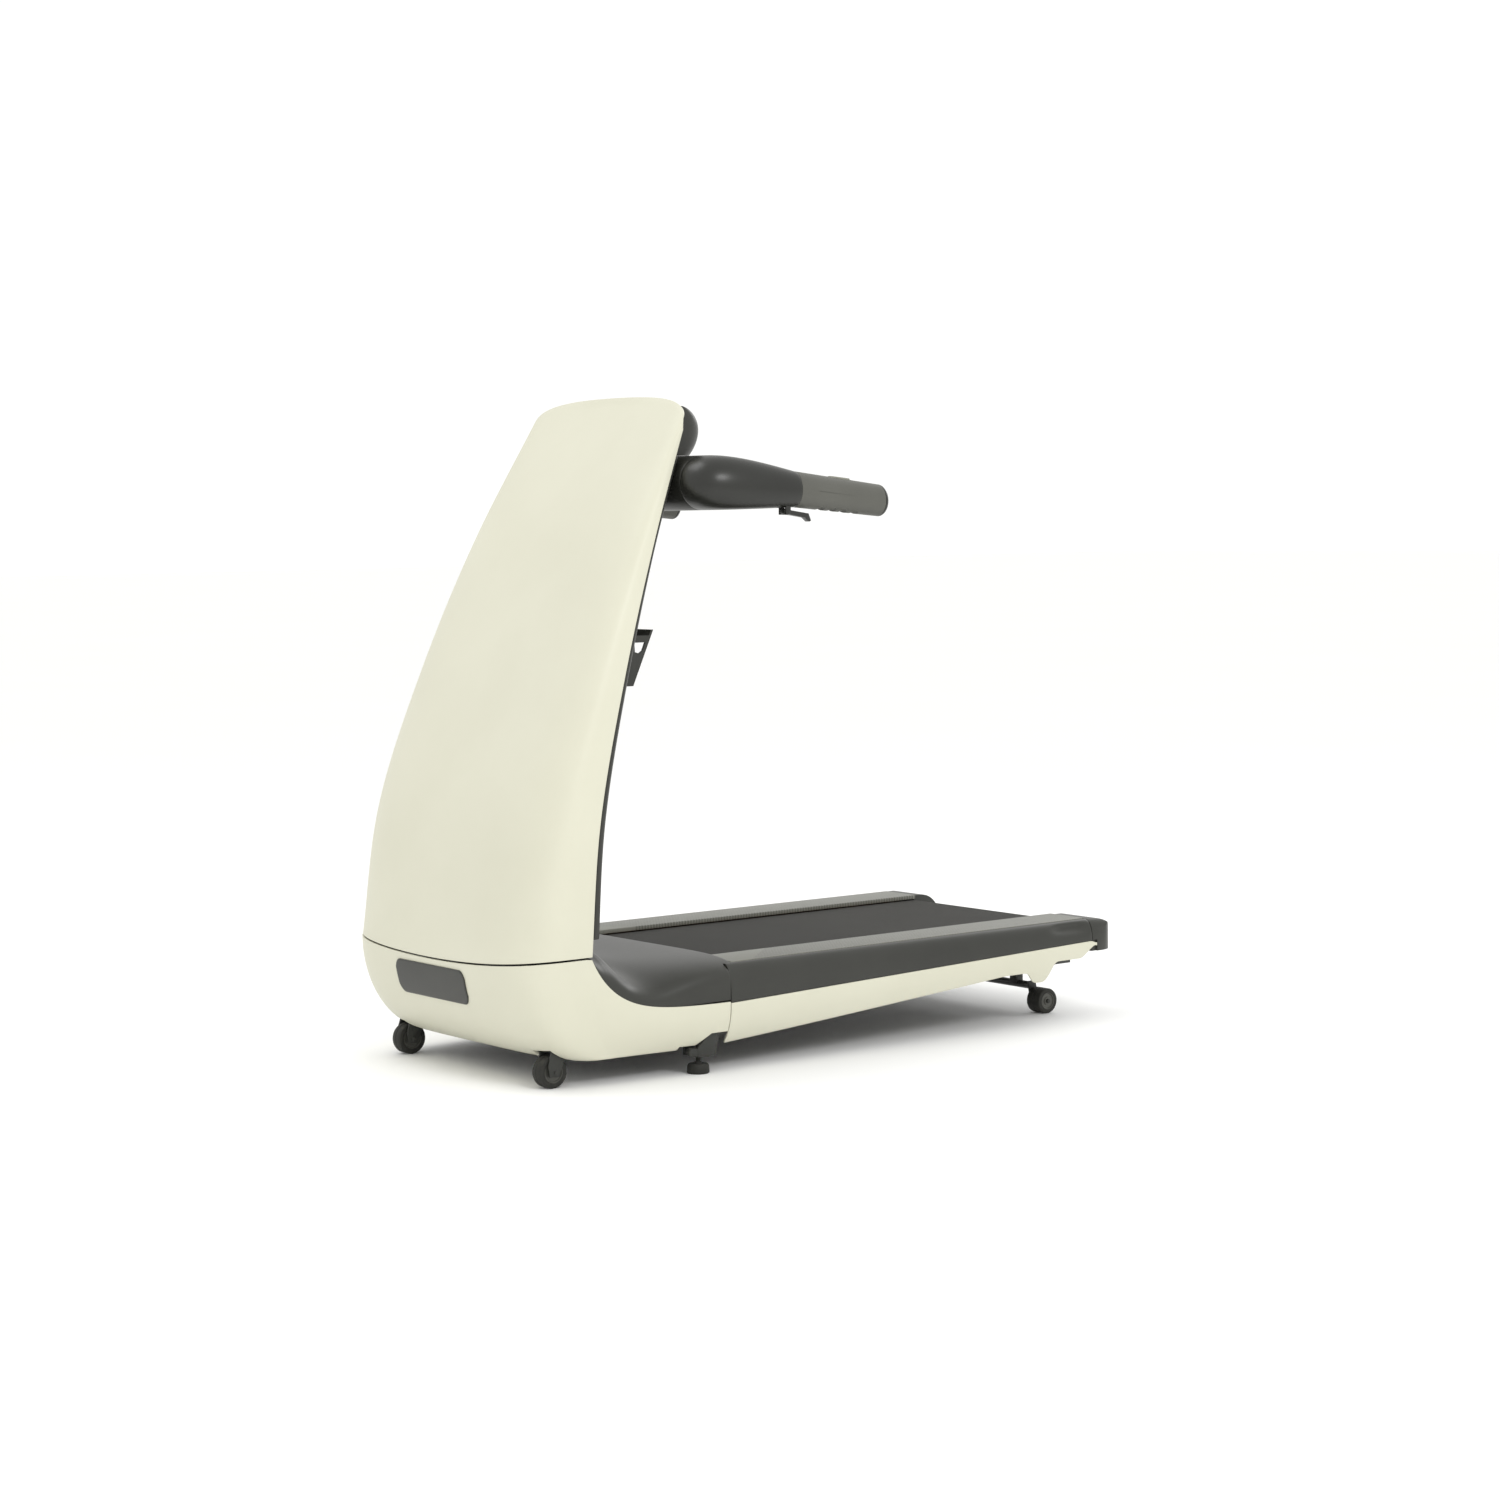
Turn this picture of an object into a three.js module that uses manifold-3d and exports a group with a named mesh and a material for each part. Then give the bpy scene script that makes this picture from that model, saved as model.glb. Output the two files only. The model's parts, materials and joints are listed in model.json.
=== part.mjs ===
// Motorised home treadmill with a wide curved mast that folds down over the running deck.
// Millimetres. +X is the right side, -Y the nose end, +Y the rear of the deck, +Z up.
// The origin is on the floor under the middle of the machine.
import * as THREE from 'three';
import { mergeGeometries, mergeVertices } from 'three/addons/utils/BufferGeometryUtils.js';
import Module from 'manifold-3d';

const wasm = await Module();
wasm.setup();

// ---------------------------------------------------------------- driving dimensions
const LENGTH = 1500;
const WIDTH = 700;
const GAP = 0.3;                 // play between pieces that lie against each other
const WALL = 4;                  // moulded cover thickness
const SIDES = [['left', -1], ['right', 1]];

const NOSE_FRONT = -LENGTH / 2 + 2;
const REAR_END = LENGTH / 2;
const HALF_WIDTH = WIDTH / 2;
const CORNER_Y = -596;           // where the nose's rounded front becomes its side
const NOSE_HALF = 332;           // half the nose's width at that corner
const SPLIT_Y = -285;            // joint between front covers and deck side covers
const SQUARENESS = 4.5;          // exponent of the nose's and the mast's rounded plan

const LIP_Z = 229;               // top edge of the nose cover on the centre line
const LIP_RISE = 18;             // how far that edge rises towards its ends
const NOSE_BOTTOM = 50;
const NOSE_ROUND = 190;          // height of the nose's tucked-under lower part
const NOSE_TUCK = 140;           // how far the nose's front draws back below
const CORNER_TUCK = 80;          // how far its corners move back below
const SIDE_TUCK = 72;            // how far the sides draw in, as a full quarter round

const MAST_TOP = 1305;
const MAST_SHOULDER = 1244;      // height where the mast's side edge turns into its top
const MAST_CROWN = 9;            // extra fall of the mast's top edge towards its corners
const PANEL_WALL = 6;
const BACK_DEPTH = 40;           // mast back shell, behind the panel's edge
const BACK_INSET = 8;            // how far that shell is set in from the panel's sides
const BACK_TOP = 1184;
// height, half width, edge Y, and how far the front stands ahead of the edge
const MAST_STATIONS = [
  [230, 331, -596, 154],
  [500, 336, -574, 121],
  [770, 321, -502, 85],
  [1030, 295, -408, 50],
  [1300, 253, -286, 11],
];

const PIVOT = { y: -552, z: 256 };          // axis that the mast folds about
const HANDLE = { x: 285, y: -289, z: 1133, r: 52.5 };   // handlebar root, axis along X
const GRIP_START = -114;
const GRIP_END = 98;
const GRIP_X = 345;

const RAIL_TOP = 210;
const RAIL_IN = 222;
const RAIL_OUT = 324;
const BELT_TOP = 200;
const BELT_HALF = 214;
const BELT_THICK = 2.2;
const ROLLER_R = 24;
const FRONT_ROLLER_Y = -336;
const REAR_ROLLER_Y = 664;
const ROLLER_Z = BELT_TOP - BELT_THICK - 0.4 - ROLLER_R;
const HOOD_REAR = -266;
const MOTOR = { y: -468, z: 150, r: 44 };
const MOTOR_PULLEY_R = 14;
const ROLLER_PULLEY_R = 24;
const PULLEY_X = -230;

const FRONT_WHEEL = { x: 253, y: -643, r: 31, width: 30 };
const REAR_WHEEL = { x: 231, y: 640, r: 27, width: 40 };
const FOOT = { x: 320, y: -340, r: 22, height: 18 };
const FRAME_X = 262;             // centre of the deck's side tubes
const FRAME_LOW = 110;
const FRAME_HIGH = 160;

// ---------------------------------------------------------------- materials
function finish(color, roughness, metalness = 0) {
  return new THREE.MeshStandardMaterial({ color, roughness, metalness });
}
const cream = finish(0xe4e3cf, 0.35);
const shroud = finish(0x4b4c45, 0.45);
const handleBlack = finish(0x2c2d28, 0.35);
const rubber = finish(0x2d2e29, 0.8);
const belting = finish(0x3a3936, 0.9);
const railGrey = finish(0x8b8b80, 0.6);
const steel = finish(0x3a3b38, 0.5, 0.6);
const bright = finish(0xb8b8b4, 0.3, 0.9);
const wood = finish(0x9a7b52, 0.7);
const lens = finish(0x101214, 0.1);
const accent = finish(0xa33a30, 0.5);

// ---------------------------------------------------------------- modelling helpers
const treadmill = new THREE.Group();

function add(name, geometry, material) {
  const mesh = new THREE.Mesh(geometry, material);
  mesh.name = name;
  treadmill.add(mesh);
  return mesh;
}

// Turns a geometry into a closed solid with shared corners and outward faces.
function solid(geometry) {
  const bare = geometry.clone();
  bare.deleteAttribute('normal');
  bare.deleteAttribute('uv');
  const merged = mergeVertices(bare, 1e-4);
  const triVerts = Uint32Array.from(merged.index.array);
  const vertProperties = Float32Array.from(merged.attributes.position.array);
  const body = new wasm.Manifold(new wasm.Mesh({ numProp: 3, vertProperties, triVerts }));
  return body;
}

function geometryOf(body) {
  const mesh = body.getMesh();
  const geometry = new THREE.BufferGeometry();
  geometry.setAttribute('position', new THREE.BufferAttribute(mesh.vertProperties, 3));
  geometry.setIndex(new THREE.BufferAttribute(mesh.triVerts, 1));
  return geometry;
}

function join(...geometries) {
  const bodies = geometries.map(solid);
  return geometryOf(bodies.reduce((whole, piece) => whole.add(piece)));
}

function cut(geometry, ...tools) {
  const bodies = tools.map(solid);
  return geometryOf(bodies.reduce((whole, tool) => whole.subtract(tool), solid(geometry)));
}

// Mirrors a right-hand piece to the left, keeping its faces outward.
function handed(geometry, side) {
  if (side > 0) return geometry;
  const mirrored = geometry.clone();
  mirrored.scale(-1, 1, 1);
  if (!mirrored.index) return mergeVertices(turned(mirrored));
  const index = mirrored.index.array;
  for (let i = 0; i < index.length; i += 3) {
    [index[i + 1], index[i + 2]] = [index[i + 2], index[i + 1]];
  }
  return mirrored;
}

// Reverses the winding of a geometry without an index.
function turned(geometry) {
  const indexed = mergeVertices(geometry);
  const index = indexed.index.array;
  for (let i = 0; i < index.length; i += 3) {
    [index[i + 1], index[i + 2]] = [index[i + 2], index[i + 1]];
  }
  return indexed;
}

// A block between two corners.
function block(x0, x1, y0, y1, z0, z1) {
  const geometry = new THREE.BoxGeometry(x1 - x0, y1 - y0, z1 - z0);
  return geometry.translate((x0 + x1) / 2, (y0 + y1) / 2, (z0 + z1) / 2);
}

// A cylinder along X from x0 to x1.
function rod(r, x0, x1, y, z, sides = 18) {
  const geometry = new THREE.CylinderGeometry(r, r, x1 - x0, sides);
  return geometry.rotateZ(Math.PI / 2).translate((x0 + x1) / 2, y, z);
}

// A turned piece about an axis along X: profile points are [distance along X, radius].
function turnedOnX(profile, x, y, z, sides = 20) {
  const points = profile.map(([along, radius]) => new THREE.Vector2(radius, along));
  const geometry = new THREE.LatheGeometry(points, sides);
  return geometry.rotateZ(-Math.PI / 2).translate(x, y, z);
}

// A plate whose outline lies in the Y-Z plane, x0 to x1 thick.
function sidePlate(outline, x0, x1) {
  const shape = new THREE.Shape(outline.map(([y, z]) => new THREE.Vector2(y, z)));
  const geometry = new THREE.ExtrudeGeometry(shape, { depth: x1 - x0, bevelEnabled: false });
  const frame = new THREE.Matrix4().makeBasis(
    new THREE.Vector3(0, 1, 0), new THREE.Vector3(0, 0, 1), new THREE.Vector3(1, 0, 0));
  return geometry.applyMatrix4(frame).translate(x0, 0, 0);
}

// A bar whose outline lies in the X-Z plane and runs from y0 to y1.
function lengthBar(outline, y0, y1) {
  const shape = new THREE.Shape(outline.map(([x, z]) => new THREE.Vector2(x, z)));
  const geometry = new THREE.ExtrudeGeometry(shape, { depth: y1 - y0, bevelEnabled: false });
  return geometry.rotateX(Math.PI / 2).translate(0, y1, 0);
}

// Bends a subdivided slab into a shell. place(u, v, t) gives the point at u across (-1 to 1),
// v along (0 to 1) and t through the thickness (0 outside to 1 inside).
function shell(across, along, place) {
  const geometry = new THREE.BoxGeometry(2, 1, 1, across, 1, along);
  const position = geometry.attributes.position;
  const point = new THREE.Vector3();
  for (let i = 0; i < position.count; i += 1) {
    point.fromBufferAttribute(position, i);
    place(point.x, point.z + 0.5, point.y + 0.5, point);
    position.setXYZ(i, point.x, point.y, point.z);
  }
  return outward(geometry);
}

// Sweeps a round section along a course: ring(s) gives its centre, side vector and up vector.
function swept(sides, steps, ring) {
  const geometry = new THREE.CylinderGeometry(1, 1, 1, sides, steps);
  const position = geometry.attributes.position;
  for (let i = 0; i < position.count; i += 1) {
    const { centre, side, up } = ring(position.getY(i) + 0.5);
    const point = centre.clone()
      .addScaledVector(side, position.getX(i))
      .addScaledVector(up, position.getZ(i));
    position.setXYZ(i, point.x, point.y, point.z);
  }
  return outward(geometry);
}

function signedVolume(geometry) {
  const position = geometry.attributes.position;
  const index = geometry.index.array;
  const corner = [new THREE.Vector3(), new THREE.Vector3(), new THREE.Vector3()];
  let total = 0;
  for (let i = 0; i < index.length; i += 3) {
    corner.forEach((vector, k) => vector.fromBufferAttribute(position, index[i + k]));
    total += corner[0].dot(corner[1].clone().cross(corner[2])) / 6;
  }
  return total;
}

function outward(geometry) {
  if (signedVolume(geometry) > 0) return geometry;
  const index = geometry.index.array;
  for (let i = 0; i < index.length; i += 3) {
    [index[i + 1], index[i + 2]] = [index[i + 2], index[i + 1]];
  }
  return geometry;
}

// Sine and cosine raised so that the pair traces a rounded rectangle's quarter.
function roundSin(angle, squareness) {
  const sine = Math.sin(angle);
  return Math.sign(sine) * Math.abs(sine) ** (2 / squareness);
}

function roundCos(angle, squareness) {
  return Math.max(Math.cos(angle), 0) ** (2 / squareness);
}

const mix = THREE.MathUtils.lerp;

// ---------------------------------------------------------------- mast shape
const mastCourse = new THREE.CubicInterpolant(
  MAST_STATIONS.map((row) => row[0]), MAST_STATIONS.flatMap((row) => row.slice(1)), 3);

function mastAt(z) {
  const [half, edge, bulge] = mastCourse.evaluate(Math.min(Math.max(z, 230), 1300));
  return { half, edge, bulge };
}

// Squareness of the mast's back corners: boxy at the foot, soft towards the top.
function backSquareness(z) {
  return mix(3.6, 2.1, THREE.MathUtils.clamp((z - 300) / 700, 0, 1));
}

// Y of the mast back's outer surface at a height and distance from the middle.
function mastBackY(x, z) {
  const { half, edge } = mastAt(z);
  const power = backSquareness(z);
  const share = Math.min(Math.abs(x) / (half - BACK_INSET), 1);
  return edge + 1 + 6 + (BACK_DEPTH - 6) * (1 - share ** power) ** (1 / power);
}

function mastPanel() {
  return shell(16, 12, (u, v, t, point) => {
    const angle = u * Math.PI / 2;
    const low = LIP_Z + 4 + LIP_RISE * roundSin(angle, SQUARENESS) ** 2;
    const crown = MAST_CROWN * roundSin(angle, SQUARENESS) ** 2;
    const high = mix(MAST_SHOULDER, MAST_TOP, roundCos(angle, SQUARENESS)) - crown;
    const z = mix(low, high, v);
    const { half, edge, bulge } = mastAt(z);
    const inset = t * PANEL_WALL;
    const front = edge - bulge + inset;
    point.set(
      (half - inset) * roundSin(angle, SQUARENESS),
      front + (bulge - inset) * (1 - roundCos(angle, SQUARENESS)),
      z);
  });
}

// The mast back as a full block, drawn in by inset and reaching forward by reach.
function mastBackBlock(inset, reach, base, top) {
  return shell(12, 9, (u, v, t, point) => {
    const angle = u * Math.PI / 2;
    const foot = base + 18 * (t ? 0 : 1);
    const z = mix(foot, top, v);
    const { half, edge } = mastAt(z);
    const power = backSquareness(z);
    const rear = edge + 7 - inset + (BACK_DEPTH - 6) * roundCos(angle, power);
    const wide = half - BACK_INSET - inset;
    point.set(wide * roundSin(angle, power), t ? edge + 1 - reach : rear, z);
  });
}

function mastBack() {
  const outer = mastBackBlock(0, 0, 264, BACK_TOP);
  const pocket = mastBackBlock(WALL, 8, 240, BACK_TOP - WALL);
  const seat = rod(HANDLE.r + 1, -400, 400, HANDLE.y, HANDLE.z, 32);
  return cut(outer, pocket, seat);
}

// Two curved uprights tied by cross plates, with lugs round the fold shaft.
function mastFrame() {
  const pieces = [];
  const section = new THREE.Shape();
  section.moveTo(-10, -15).lineTo(10, -15).lineTo(10, 15).lineTo(-10, 15).closePath();
  for (const [, side] of SIDES) {
    const course = [300, 520, 760, 1000, 1170].map((z) => (
      new THREE.Vector3(side * 168, mastAt(z).edge - 4, z)));
    const upright = new THREE.ExtrudeGeometry(section, {
      steps: 10, extrudePath: new THREE.CatmullRomCurve3(course), bevelEnabled: false,
    });
    pieces.push(upright);
    pieces.push(sidePlate([
      [PIVOT.y - 12, PIVOT.z - 12], [PIVOT.y + 11, PIVOT.z - 12], [PIVOT.y + 11, PIVOT.z + 10],
      [PIVOT.y - 1, PIVOT.z + 21], [PIVOT.y - 13, PIVOT.z + 23], [PIVOT.y - 13, 330],
      [PIVOT.y - 45, 330],
      [PIVOT.y - 45, 300],
    ], side * 168 - 6, side * 168 + 6));
  }
  for (const z of [420, 700, 980, 1150]) {
    const y = mastAt(z).edge - 4;
    pieces.push(block(-168, 168, y - 5, y + 5, z - 16, z + 16));
  }
  const bore = rod(10.4, -200, 200, PIVOT.y, PIVOT.z);
  return cut(join(...pieces), bore);
}

// ---------------------------------------------------------------- nose and front covers
// How far the nose's front draws back at a height.
function tuck(z, reach) {
  const drop = THREE.MathUtils.clamp((LIP_Z + 10 - z) / NOSE_ROUND, 0, 1);
  return reach * (1 - Math.sqrt(1 - drop * drop));
}

// How far a side draws in at a height, below a top edge that is itself at height top.
function sideTuck(z, top) {
  const drop = THREE.MathUtils.clamp((top - z) / (1.25 * (top - NOSE_BOTTOM)), 0, 1);
  return SIDE_TUCK * (1 - Math.sqrt(1 - drop * drop));
}

// Height of the line between the cream cover and the dark covers along the side.
function seamZ(y) {
  const front = 136 + 111 * Math.exp(-(y - CORNER_Y) / 50);
  return y < SPLIT_Y ? front : mix(134, 164, (y - SPLIT_Y) / 975);
}

// Half the machine's width at a distance along it.
function sideX(y) {
  return mix(NOSE_HALF, HALF_WIDTH, THREE.MathUtils.smoothstep(y, CORNER_Y, SPLIT_Y));
}

// Plan of the nose cover's outside at a height; u runs from the left rear to the right rear.
function nosePlan(u, z, inset) {
  const turn = 0.62;
  const side = Math.sign(u);
  const corner = CORNER_Y + tuck(z, CORNER_TUCK);
  if (Math.abs(u) > turn) {
    const share = ((Math.abs(u) - turn) / (1 - turn)) ** 1.5;
    const y = mix(corner, SPLIT_Y - 1, share);
    const top = seamZ(mix(CORNER_Y, SPLIT_Y - 1, share));
    return [side * (sideX(y) - sideTuck(z, top) - inset), y];
  }
  const angle = (u / turn) * Math.PI / 2;
  const front = NOSE_FRONT + tuck(z, NOSE_TUCK) + inset;
  const half = sideX(corner) - sideTuck(z, seamZ(CORNER_Y)) - inset;
  const setBack = (corner - front) * (1 - roundCos(angle, SQUARENESS));
  return [half * roundSin(angle, SQUARENESS), front + setBack];
}

function noseTop(x, y) {
  const lip = LIP_Z + LIP_RISE * Math.min(Math.abs(x) / NOSE_HALF, 1) ** 2;
  return y > CORNER_Y ? seamZ(y) : lip;
}

function noseCover() {
  const cover = shell(34, 6, (u, v, t, point) => {
    const [topX, topY] = nosePlan(u, LIP_Z, 0);
    const z = mix(NOSE_BOTTOM, noseTop(topX, topY), v);
    const [x, y] = nosePlan(u, z, t * WALL);
    point.set(x, y, z);
  });
  const cuts = [];
  for (const [, side] of SIDES) {
    const wheel = FRONT_WHEEL;
    cuts.push(rod(wheel.r + 15, side * wheel.x - 24, side * wheel.x + 24, wheel.y, wheel.r));
    const notch = sidePlate([
      [FOOT.y - 56, 40], [FOOT.y - 50, 57], [FOOT.y - 14, 56], [FOOT.y + 16, 78],
      [FOOT.y + 60, 78], [FOOT.y + 60, 40],
    ], 240, 360);
    cuts.push(handed(notch, side));
  }
  cuts.push(block(-360, -280, -440, -400, 84, 112));
  cuts.push(block(-360, -280, -390, -366, 84, 112));
  return cut(cover, ...cuts);
}

// Generic rounded plate let onto the middle of the nose.
function noseInlay() {
  const half = 124;
  const middle = 184;
  return shell(10, 2, (u, v, t, point) => {
    const angle = u * Math.PI / 2;
    const z = middle + (v * 2 - 1) * (14 + 20 * roundCos(angle, 5));
    const x = half * Math.sin(angle);
    const front = NOSE_FRONT + tuck(z, NOSE_TUCK);
    const corner = CORNER_Y + tuck(z, CORNER_TUCK);
    const share = Math.abs(x) / (sideX(corner) - sideTuck(z, seamZ(CORNER_Y)));
    const skin = front + (corner - front) * (1 - (1 - share ** SQUARENESS) ** (1 / SQUARENESS));
    point.set(x, skin - 1.2 - (1 - t) * 1.7, z);
  });
}

// Top line of the dark hood: a stub under the mast, a hollow sweep behind it, then level.
function hoodTop(y) {
  const stub = 268 - 18 * THREE.MathUtils.clamp((-560 - y) / 36, 0, 1);
  const sweep = 206 + 62 * Math.exp(-(((y + 552) / 39.4) ** 2));
  const lift = 6 * THREE.MathUtils.smoothstep(y, -420, HOOD_REAR);
  return (y < -556 ? stub : sweep) + lift;
}

function motorHood() {
  return shell(14, 17, (u, v, t, point) => {
    const y = mix(CORNER_Y + 2, HOOD_REAR, v ** 1.3);
    const angle = u * Math.PI / 2;
    const inset = t * WALL;
    const edge = Math.max(seamZ(Math.min(y, SPLIT_Y - 1)) + 1, 139);
    const wide = sideX(y) - 0.6 - inset;
    const crown = hoodTop(y) + 7 * Math.cos(angle) - inset;
    const high = Math.max(crown, edge + 1);
    const power = mix(2.7, 7, THREE.MathUtils.smoothstep(y, -470, -290));
    point.set(wide * roundSin(angle, power), y, edge + (high - edge) * roundCos(angle, power));
  });
}

// The hood cut clear of the nose cover, the deck side covers and the fold hinge.
function fittedHood() {
  const hinge = block(-198, 198, -600, -534, 200, 300);
  const corner = block(RAIL_OUT, 360, SPLIT_Y - 0.5, -250, 100, 300);
  const corners = SIDES.map(([, side]) => handed(corner, side));
  const play = [noseCover(), noseCover().translate(0, 0.7, 0.6)];
  return cut(motorHood(), ...play, hinge, ...corners);
}

// Steel plate inside the top of the nose that carries the hinge brackets.
function hingePlate() {
  const plate = block(-290, 290, -690, -600, 208, 212);
  const pieces = [plate];
  for (const x of [-182, -154, 154, 182]) {
    pieces.push(sidePlate([
      [-640, 209], [-600, 209], [PIVOT.y + 12, PIVOT.z - 10], [PIVOT.y + 12, PIVOT.z + 10],
      [PIVOT.y - 12, PIVOT.z + 12], [-640, 216],
    ], x - 3, x + 3));
  }
  return cut(join(...pieces), rod(10.3, -200, 200, PIVOT.y, PIVOT.z));
}

// ---------------------------------------------------------------- deck covers
// Shallow scoop near the side cover's rear end.
function scoop(y, z) {
  return 12 * Math.exp(-(((y - 617) / 46) ** 4)) * Math.exp(-(((z - 194) / 10) ** 2));
}

function sideCover() {
  const power = 2.4;
  return shell(6, 20, (u, v, t, point) => {
    const y = mix(SPLIT_Y + 1, 676, v);
    const angle = (u + 1) * Math.PI / 4;
    const base = seamZ(Math.max(y, SPLIT_Y)) + 0.5;
    const reach = sideX(y) - RAIL_OUT - 1 - t * WALL;
    const z = base + (RAIL_TOP - 1.5 - t * WALL - base) * roundCos(angle, power);
    const x = RAIL_OUT + 1 + reach * roundSin(angle, power);
    point.set(x - scoop(y, z) * roundSin(angle, power), y, z);
  });
}

// Lower edge of the cream skirt: it rises to the rear, with an ear over the rear wheel.
function skirtBottom(y) {
  const slope = 53 + 0.0822 * (Math.min(y, 430) - SPLIT_Y);
  const ear = 24 * Math.exp(-(((y - 532) / 30) ** 4));
  const step = 17 * THREE.MathUtils.smoothstep(y, 540, 580);
  const end = 26 * THREE.MathUtils.smoothstep(y, 640, 690);
  return slope - ear + step + end;
}

function skirt() {
  return shell(30, 3, (u, v, t, point) => {
    const y = mix(SPLIT_Y + 1, 690, (u + 1) / 2);
    const top = seamZ(Math.max(y, SPLIT_Y)) - 0.5 - 5 * THREE.MathUtils.smoothstep(y, 672, 690);
    const z = mix(Math.min(skirtBottom(y), top - 6), top, v);
    point.set(sideX(y) - sideTuck(z, top) - t * WALL, y, z);
  });
}

function footRail() {
  const outline = [
    [RAIL_IN, 201], [RAIL_IN + 4, 201], [RAIL_IN + 4, 205], [260, 205], [260, 198],
    [268, 198], [268, 205], [RAIL_OUT - 4, 205], [RAIL_OUT - 4, 192], [RAIL_OUT, 192],
    [RAIL_OUT, RAIL_TOP], [RAIL_IN, RAIL_TOP],
  ];
  return lengthBar(outline, HOOD_REAR + 1, 676);
}

// Corner block at the deck's rear: a round plan corner crossed with a falling side profile.
function rearCapBlock(inset) {
  const plan = new THREE.Shape();
  plan.moveTo(228 + inset, 677 - inset).lineTo(HALF_WIDTH - inset, 677 - inset);
  plan.lineTo(HALF_WIDTH - inset, 695);
  plan.quadraticCurveTo(HALF_WIDTH - inset, REAR_END - inset, 292, REAR_END - inset);
  plan.lineTo(228 + inset, REAR_END - inset).closePath();
  const upright = new THREE.ExtrudeGeometry(plan, {
    depth: 80, bevelEnabled: false, curveSegments: 10,
  }).translate(0, 0, 135);
  const side = new THREE.Shape();
  side.moveTo(670, 141 + inset).lineTo(734 - inset, 141 + inset);
  side.quadraticCurveTo(REAR_END - inset, 143 + inset, REAR_END - inset, 158);
  side.bezierCurveTo(REAR_END - inset - 3, 190, 722, 209 - inset, 690, 209 - inset);
  side.lineTo(670, 209 - inset).closePath();
  const across = new THREE.ExtrudeGeometry(side, {
    depth: 140, bevelEnabled: false, curveSegments: 10,
  });
  const frame = new THREE.Matrix4().makeBasis(
    new THREE.Vector3(0, 1, 0), new THREE.Vector3(0, 0, 1), new THREE.Vector3(1, 0, 0));
  across.applyMatrix4(frame).translate(220, 0, 0);
  const shoulder = [[224, 135], [HALF_WIDTH - inset, 135]];
  for (let i = 0; i <= 8; i += 1) {
    const angle = (Math.PI / 2) * (1 - i / 8);
    const x = RAIL_OUT + (HALF_WIDTH - inset - RAIL_OUT) * roundSin(angle, 2.4);
    shoulder.push([x, 164 + (RAIL_TOP - 1.5 - inset - 164) * roundCos(angle, 2.4)]);
  }
  shoulder.push([224, RAIL_TOP - 1.5 - inset]);
  const lengthwise = solid(lengthBar(shoulder, 660, 760));
  return geometryOf(solid(upright).intersect(solid(across)).intersect(lengthwise));
}

function rearCap() {
  const skirtEnd = block(HALF_WIDTH - WALL - 0.5, 360, 670, 690.5, 130, 165);
  return cut(rearCapBlock(0), rearCapBlock(WALL), skirtEnd);
}

// ---------------------------------------------------------------- deck and drive
// A closed band of the given thickness round two wheels, lying in the Y-Z plane.
function band(wheelA, wheelB, thick, x0, x1) {
  const outline = (extra) => {
    const dy = wheelB.y - wheelA.y;
    const dz = wheelB.z - wheelA.z;
    const lean = Math.acos((wheelA.r - wheelB.r) / Math.hypot(dy, dz));
    const heading = Math.atan2(dz, dy);
    const path = new THREE.Path();
    const low = heading - lean;
    const high = heading + lean;
    path.absarc(wheelB.y, wheelB.z, wheelB.r + extra, low, high, false);
    path.absarc(wheelA.y, wheelA.z, wheelA.r + extra, high, low + 2 * Math.PI, false);
    return path.getPoints(8);
  };
  const shape = new THREE.Shape(outline(thick));
  shape.holes.push(new THREE.Path(outline(0)));
  const geometry = new THREE.ExtrudeGeometry(shape, { depth: x1 - x0, bevelEnabled: false });
  const frame = new THREE.Matrix4().makeBasis(
    new THREE.Vector3(0, 1, 0), new THREE.Vector3(0, 0, 1), new THREE.Vector3(1, 0, 0));
  return geometry.applyMatrix4(frame).translate(x0, 0, 0);
}

function runningBelt() {
  const front = { y: FRONT_ROLLER_Y, z: ROLLER_Z, r: ROLLER_R + 0.4 };
  const rear = { y: REAR_ROLLER_Y, z: ROLLER_Z, r: ROLLER_R + 0.4 };
  return band(front, rear, BELT_THICK, -BELT_HALF, BELT_HALF);
}

function driveBelt() {
  const motor = { y: MOTOR.y, z: MOTOR.z, r: MOTOR_PULLEY_R + 0.4 };
  const roller = { y: FRONT_ROLLER_Y, z: ROLLER_Z, r: ROLLER_PULLEY_R + 0.4 };
  return band(motor, roller, 2, PULLEY_X - 6, PULLEY_X + 6);
}

function deckBoard() {
  const top = BELT_TOP - BELT_THICK - 0.4;
  return block(-268, 268, FRONT_ROLLER_Y + 34, REAR_ROLLER_Y - 34, 178, top);
}

function roller(y, pulley) {
  const shaft = 8;
  const ends = pulley ? [
    [PULLEY_X - 9, shaft], [PULLEY_X - 9, ROLLER_PULLEY_R + 3], [PULLEY_X - 7, ROLLER_PULLEY_R],
    [PULLEY_X + 7, ROLLER_PULLEY_R], [PULLEY_X + 9, ROLLER_PULLEY_R + 3],
    [PULLEY_X + 9, shaft],
  ] : [];
  const profile = [
    [-272, 0], [-272, shaft], ...ends, [-217, shaft], [-217, ROLLER_R],
    [217, ROLLER_R], [217, shaft], [272, shaft], [272, 0],
  ];
  return turnedOnX(profile, 0, y, ROLLER_Z);
}

function motorBody() {
  const profile = [
    [-188, 6.4], [-188, 30], [-180, MOTOR.r], [-50, MOTOR.r], [-42, 30], [-42, 6.4],
    [-188, 6.4],
  ];
  return turnedOnX(profile, 0, MOTOR.y, MOTOR.z);
}

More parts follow.
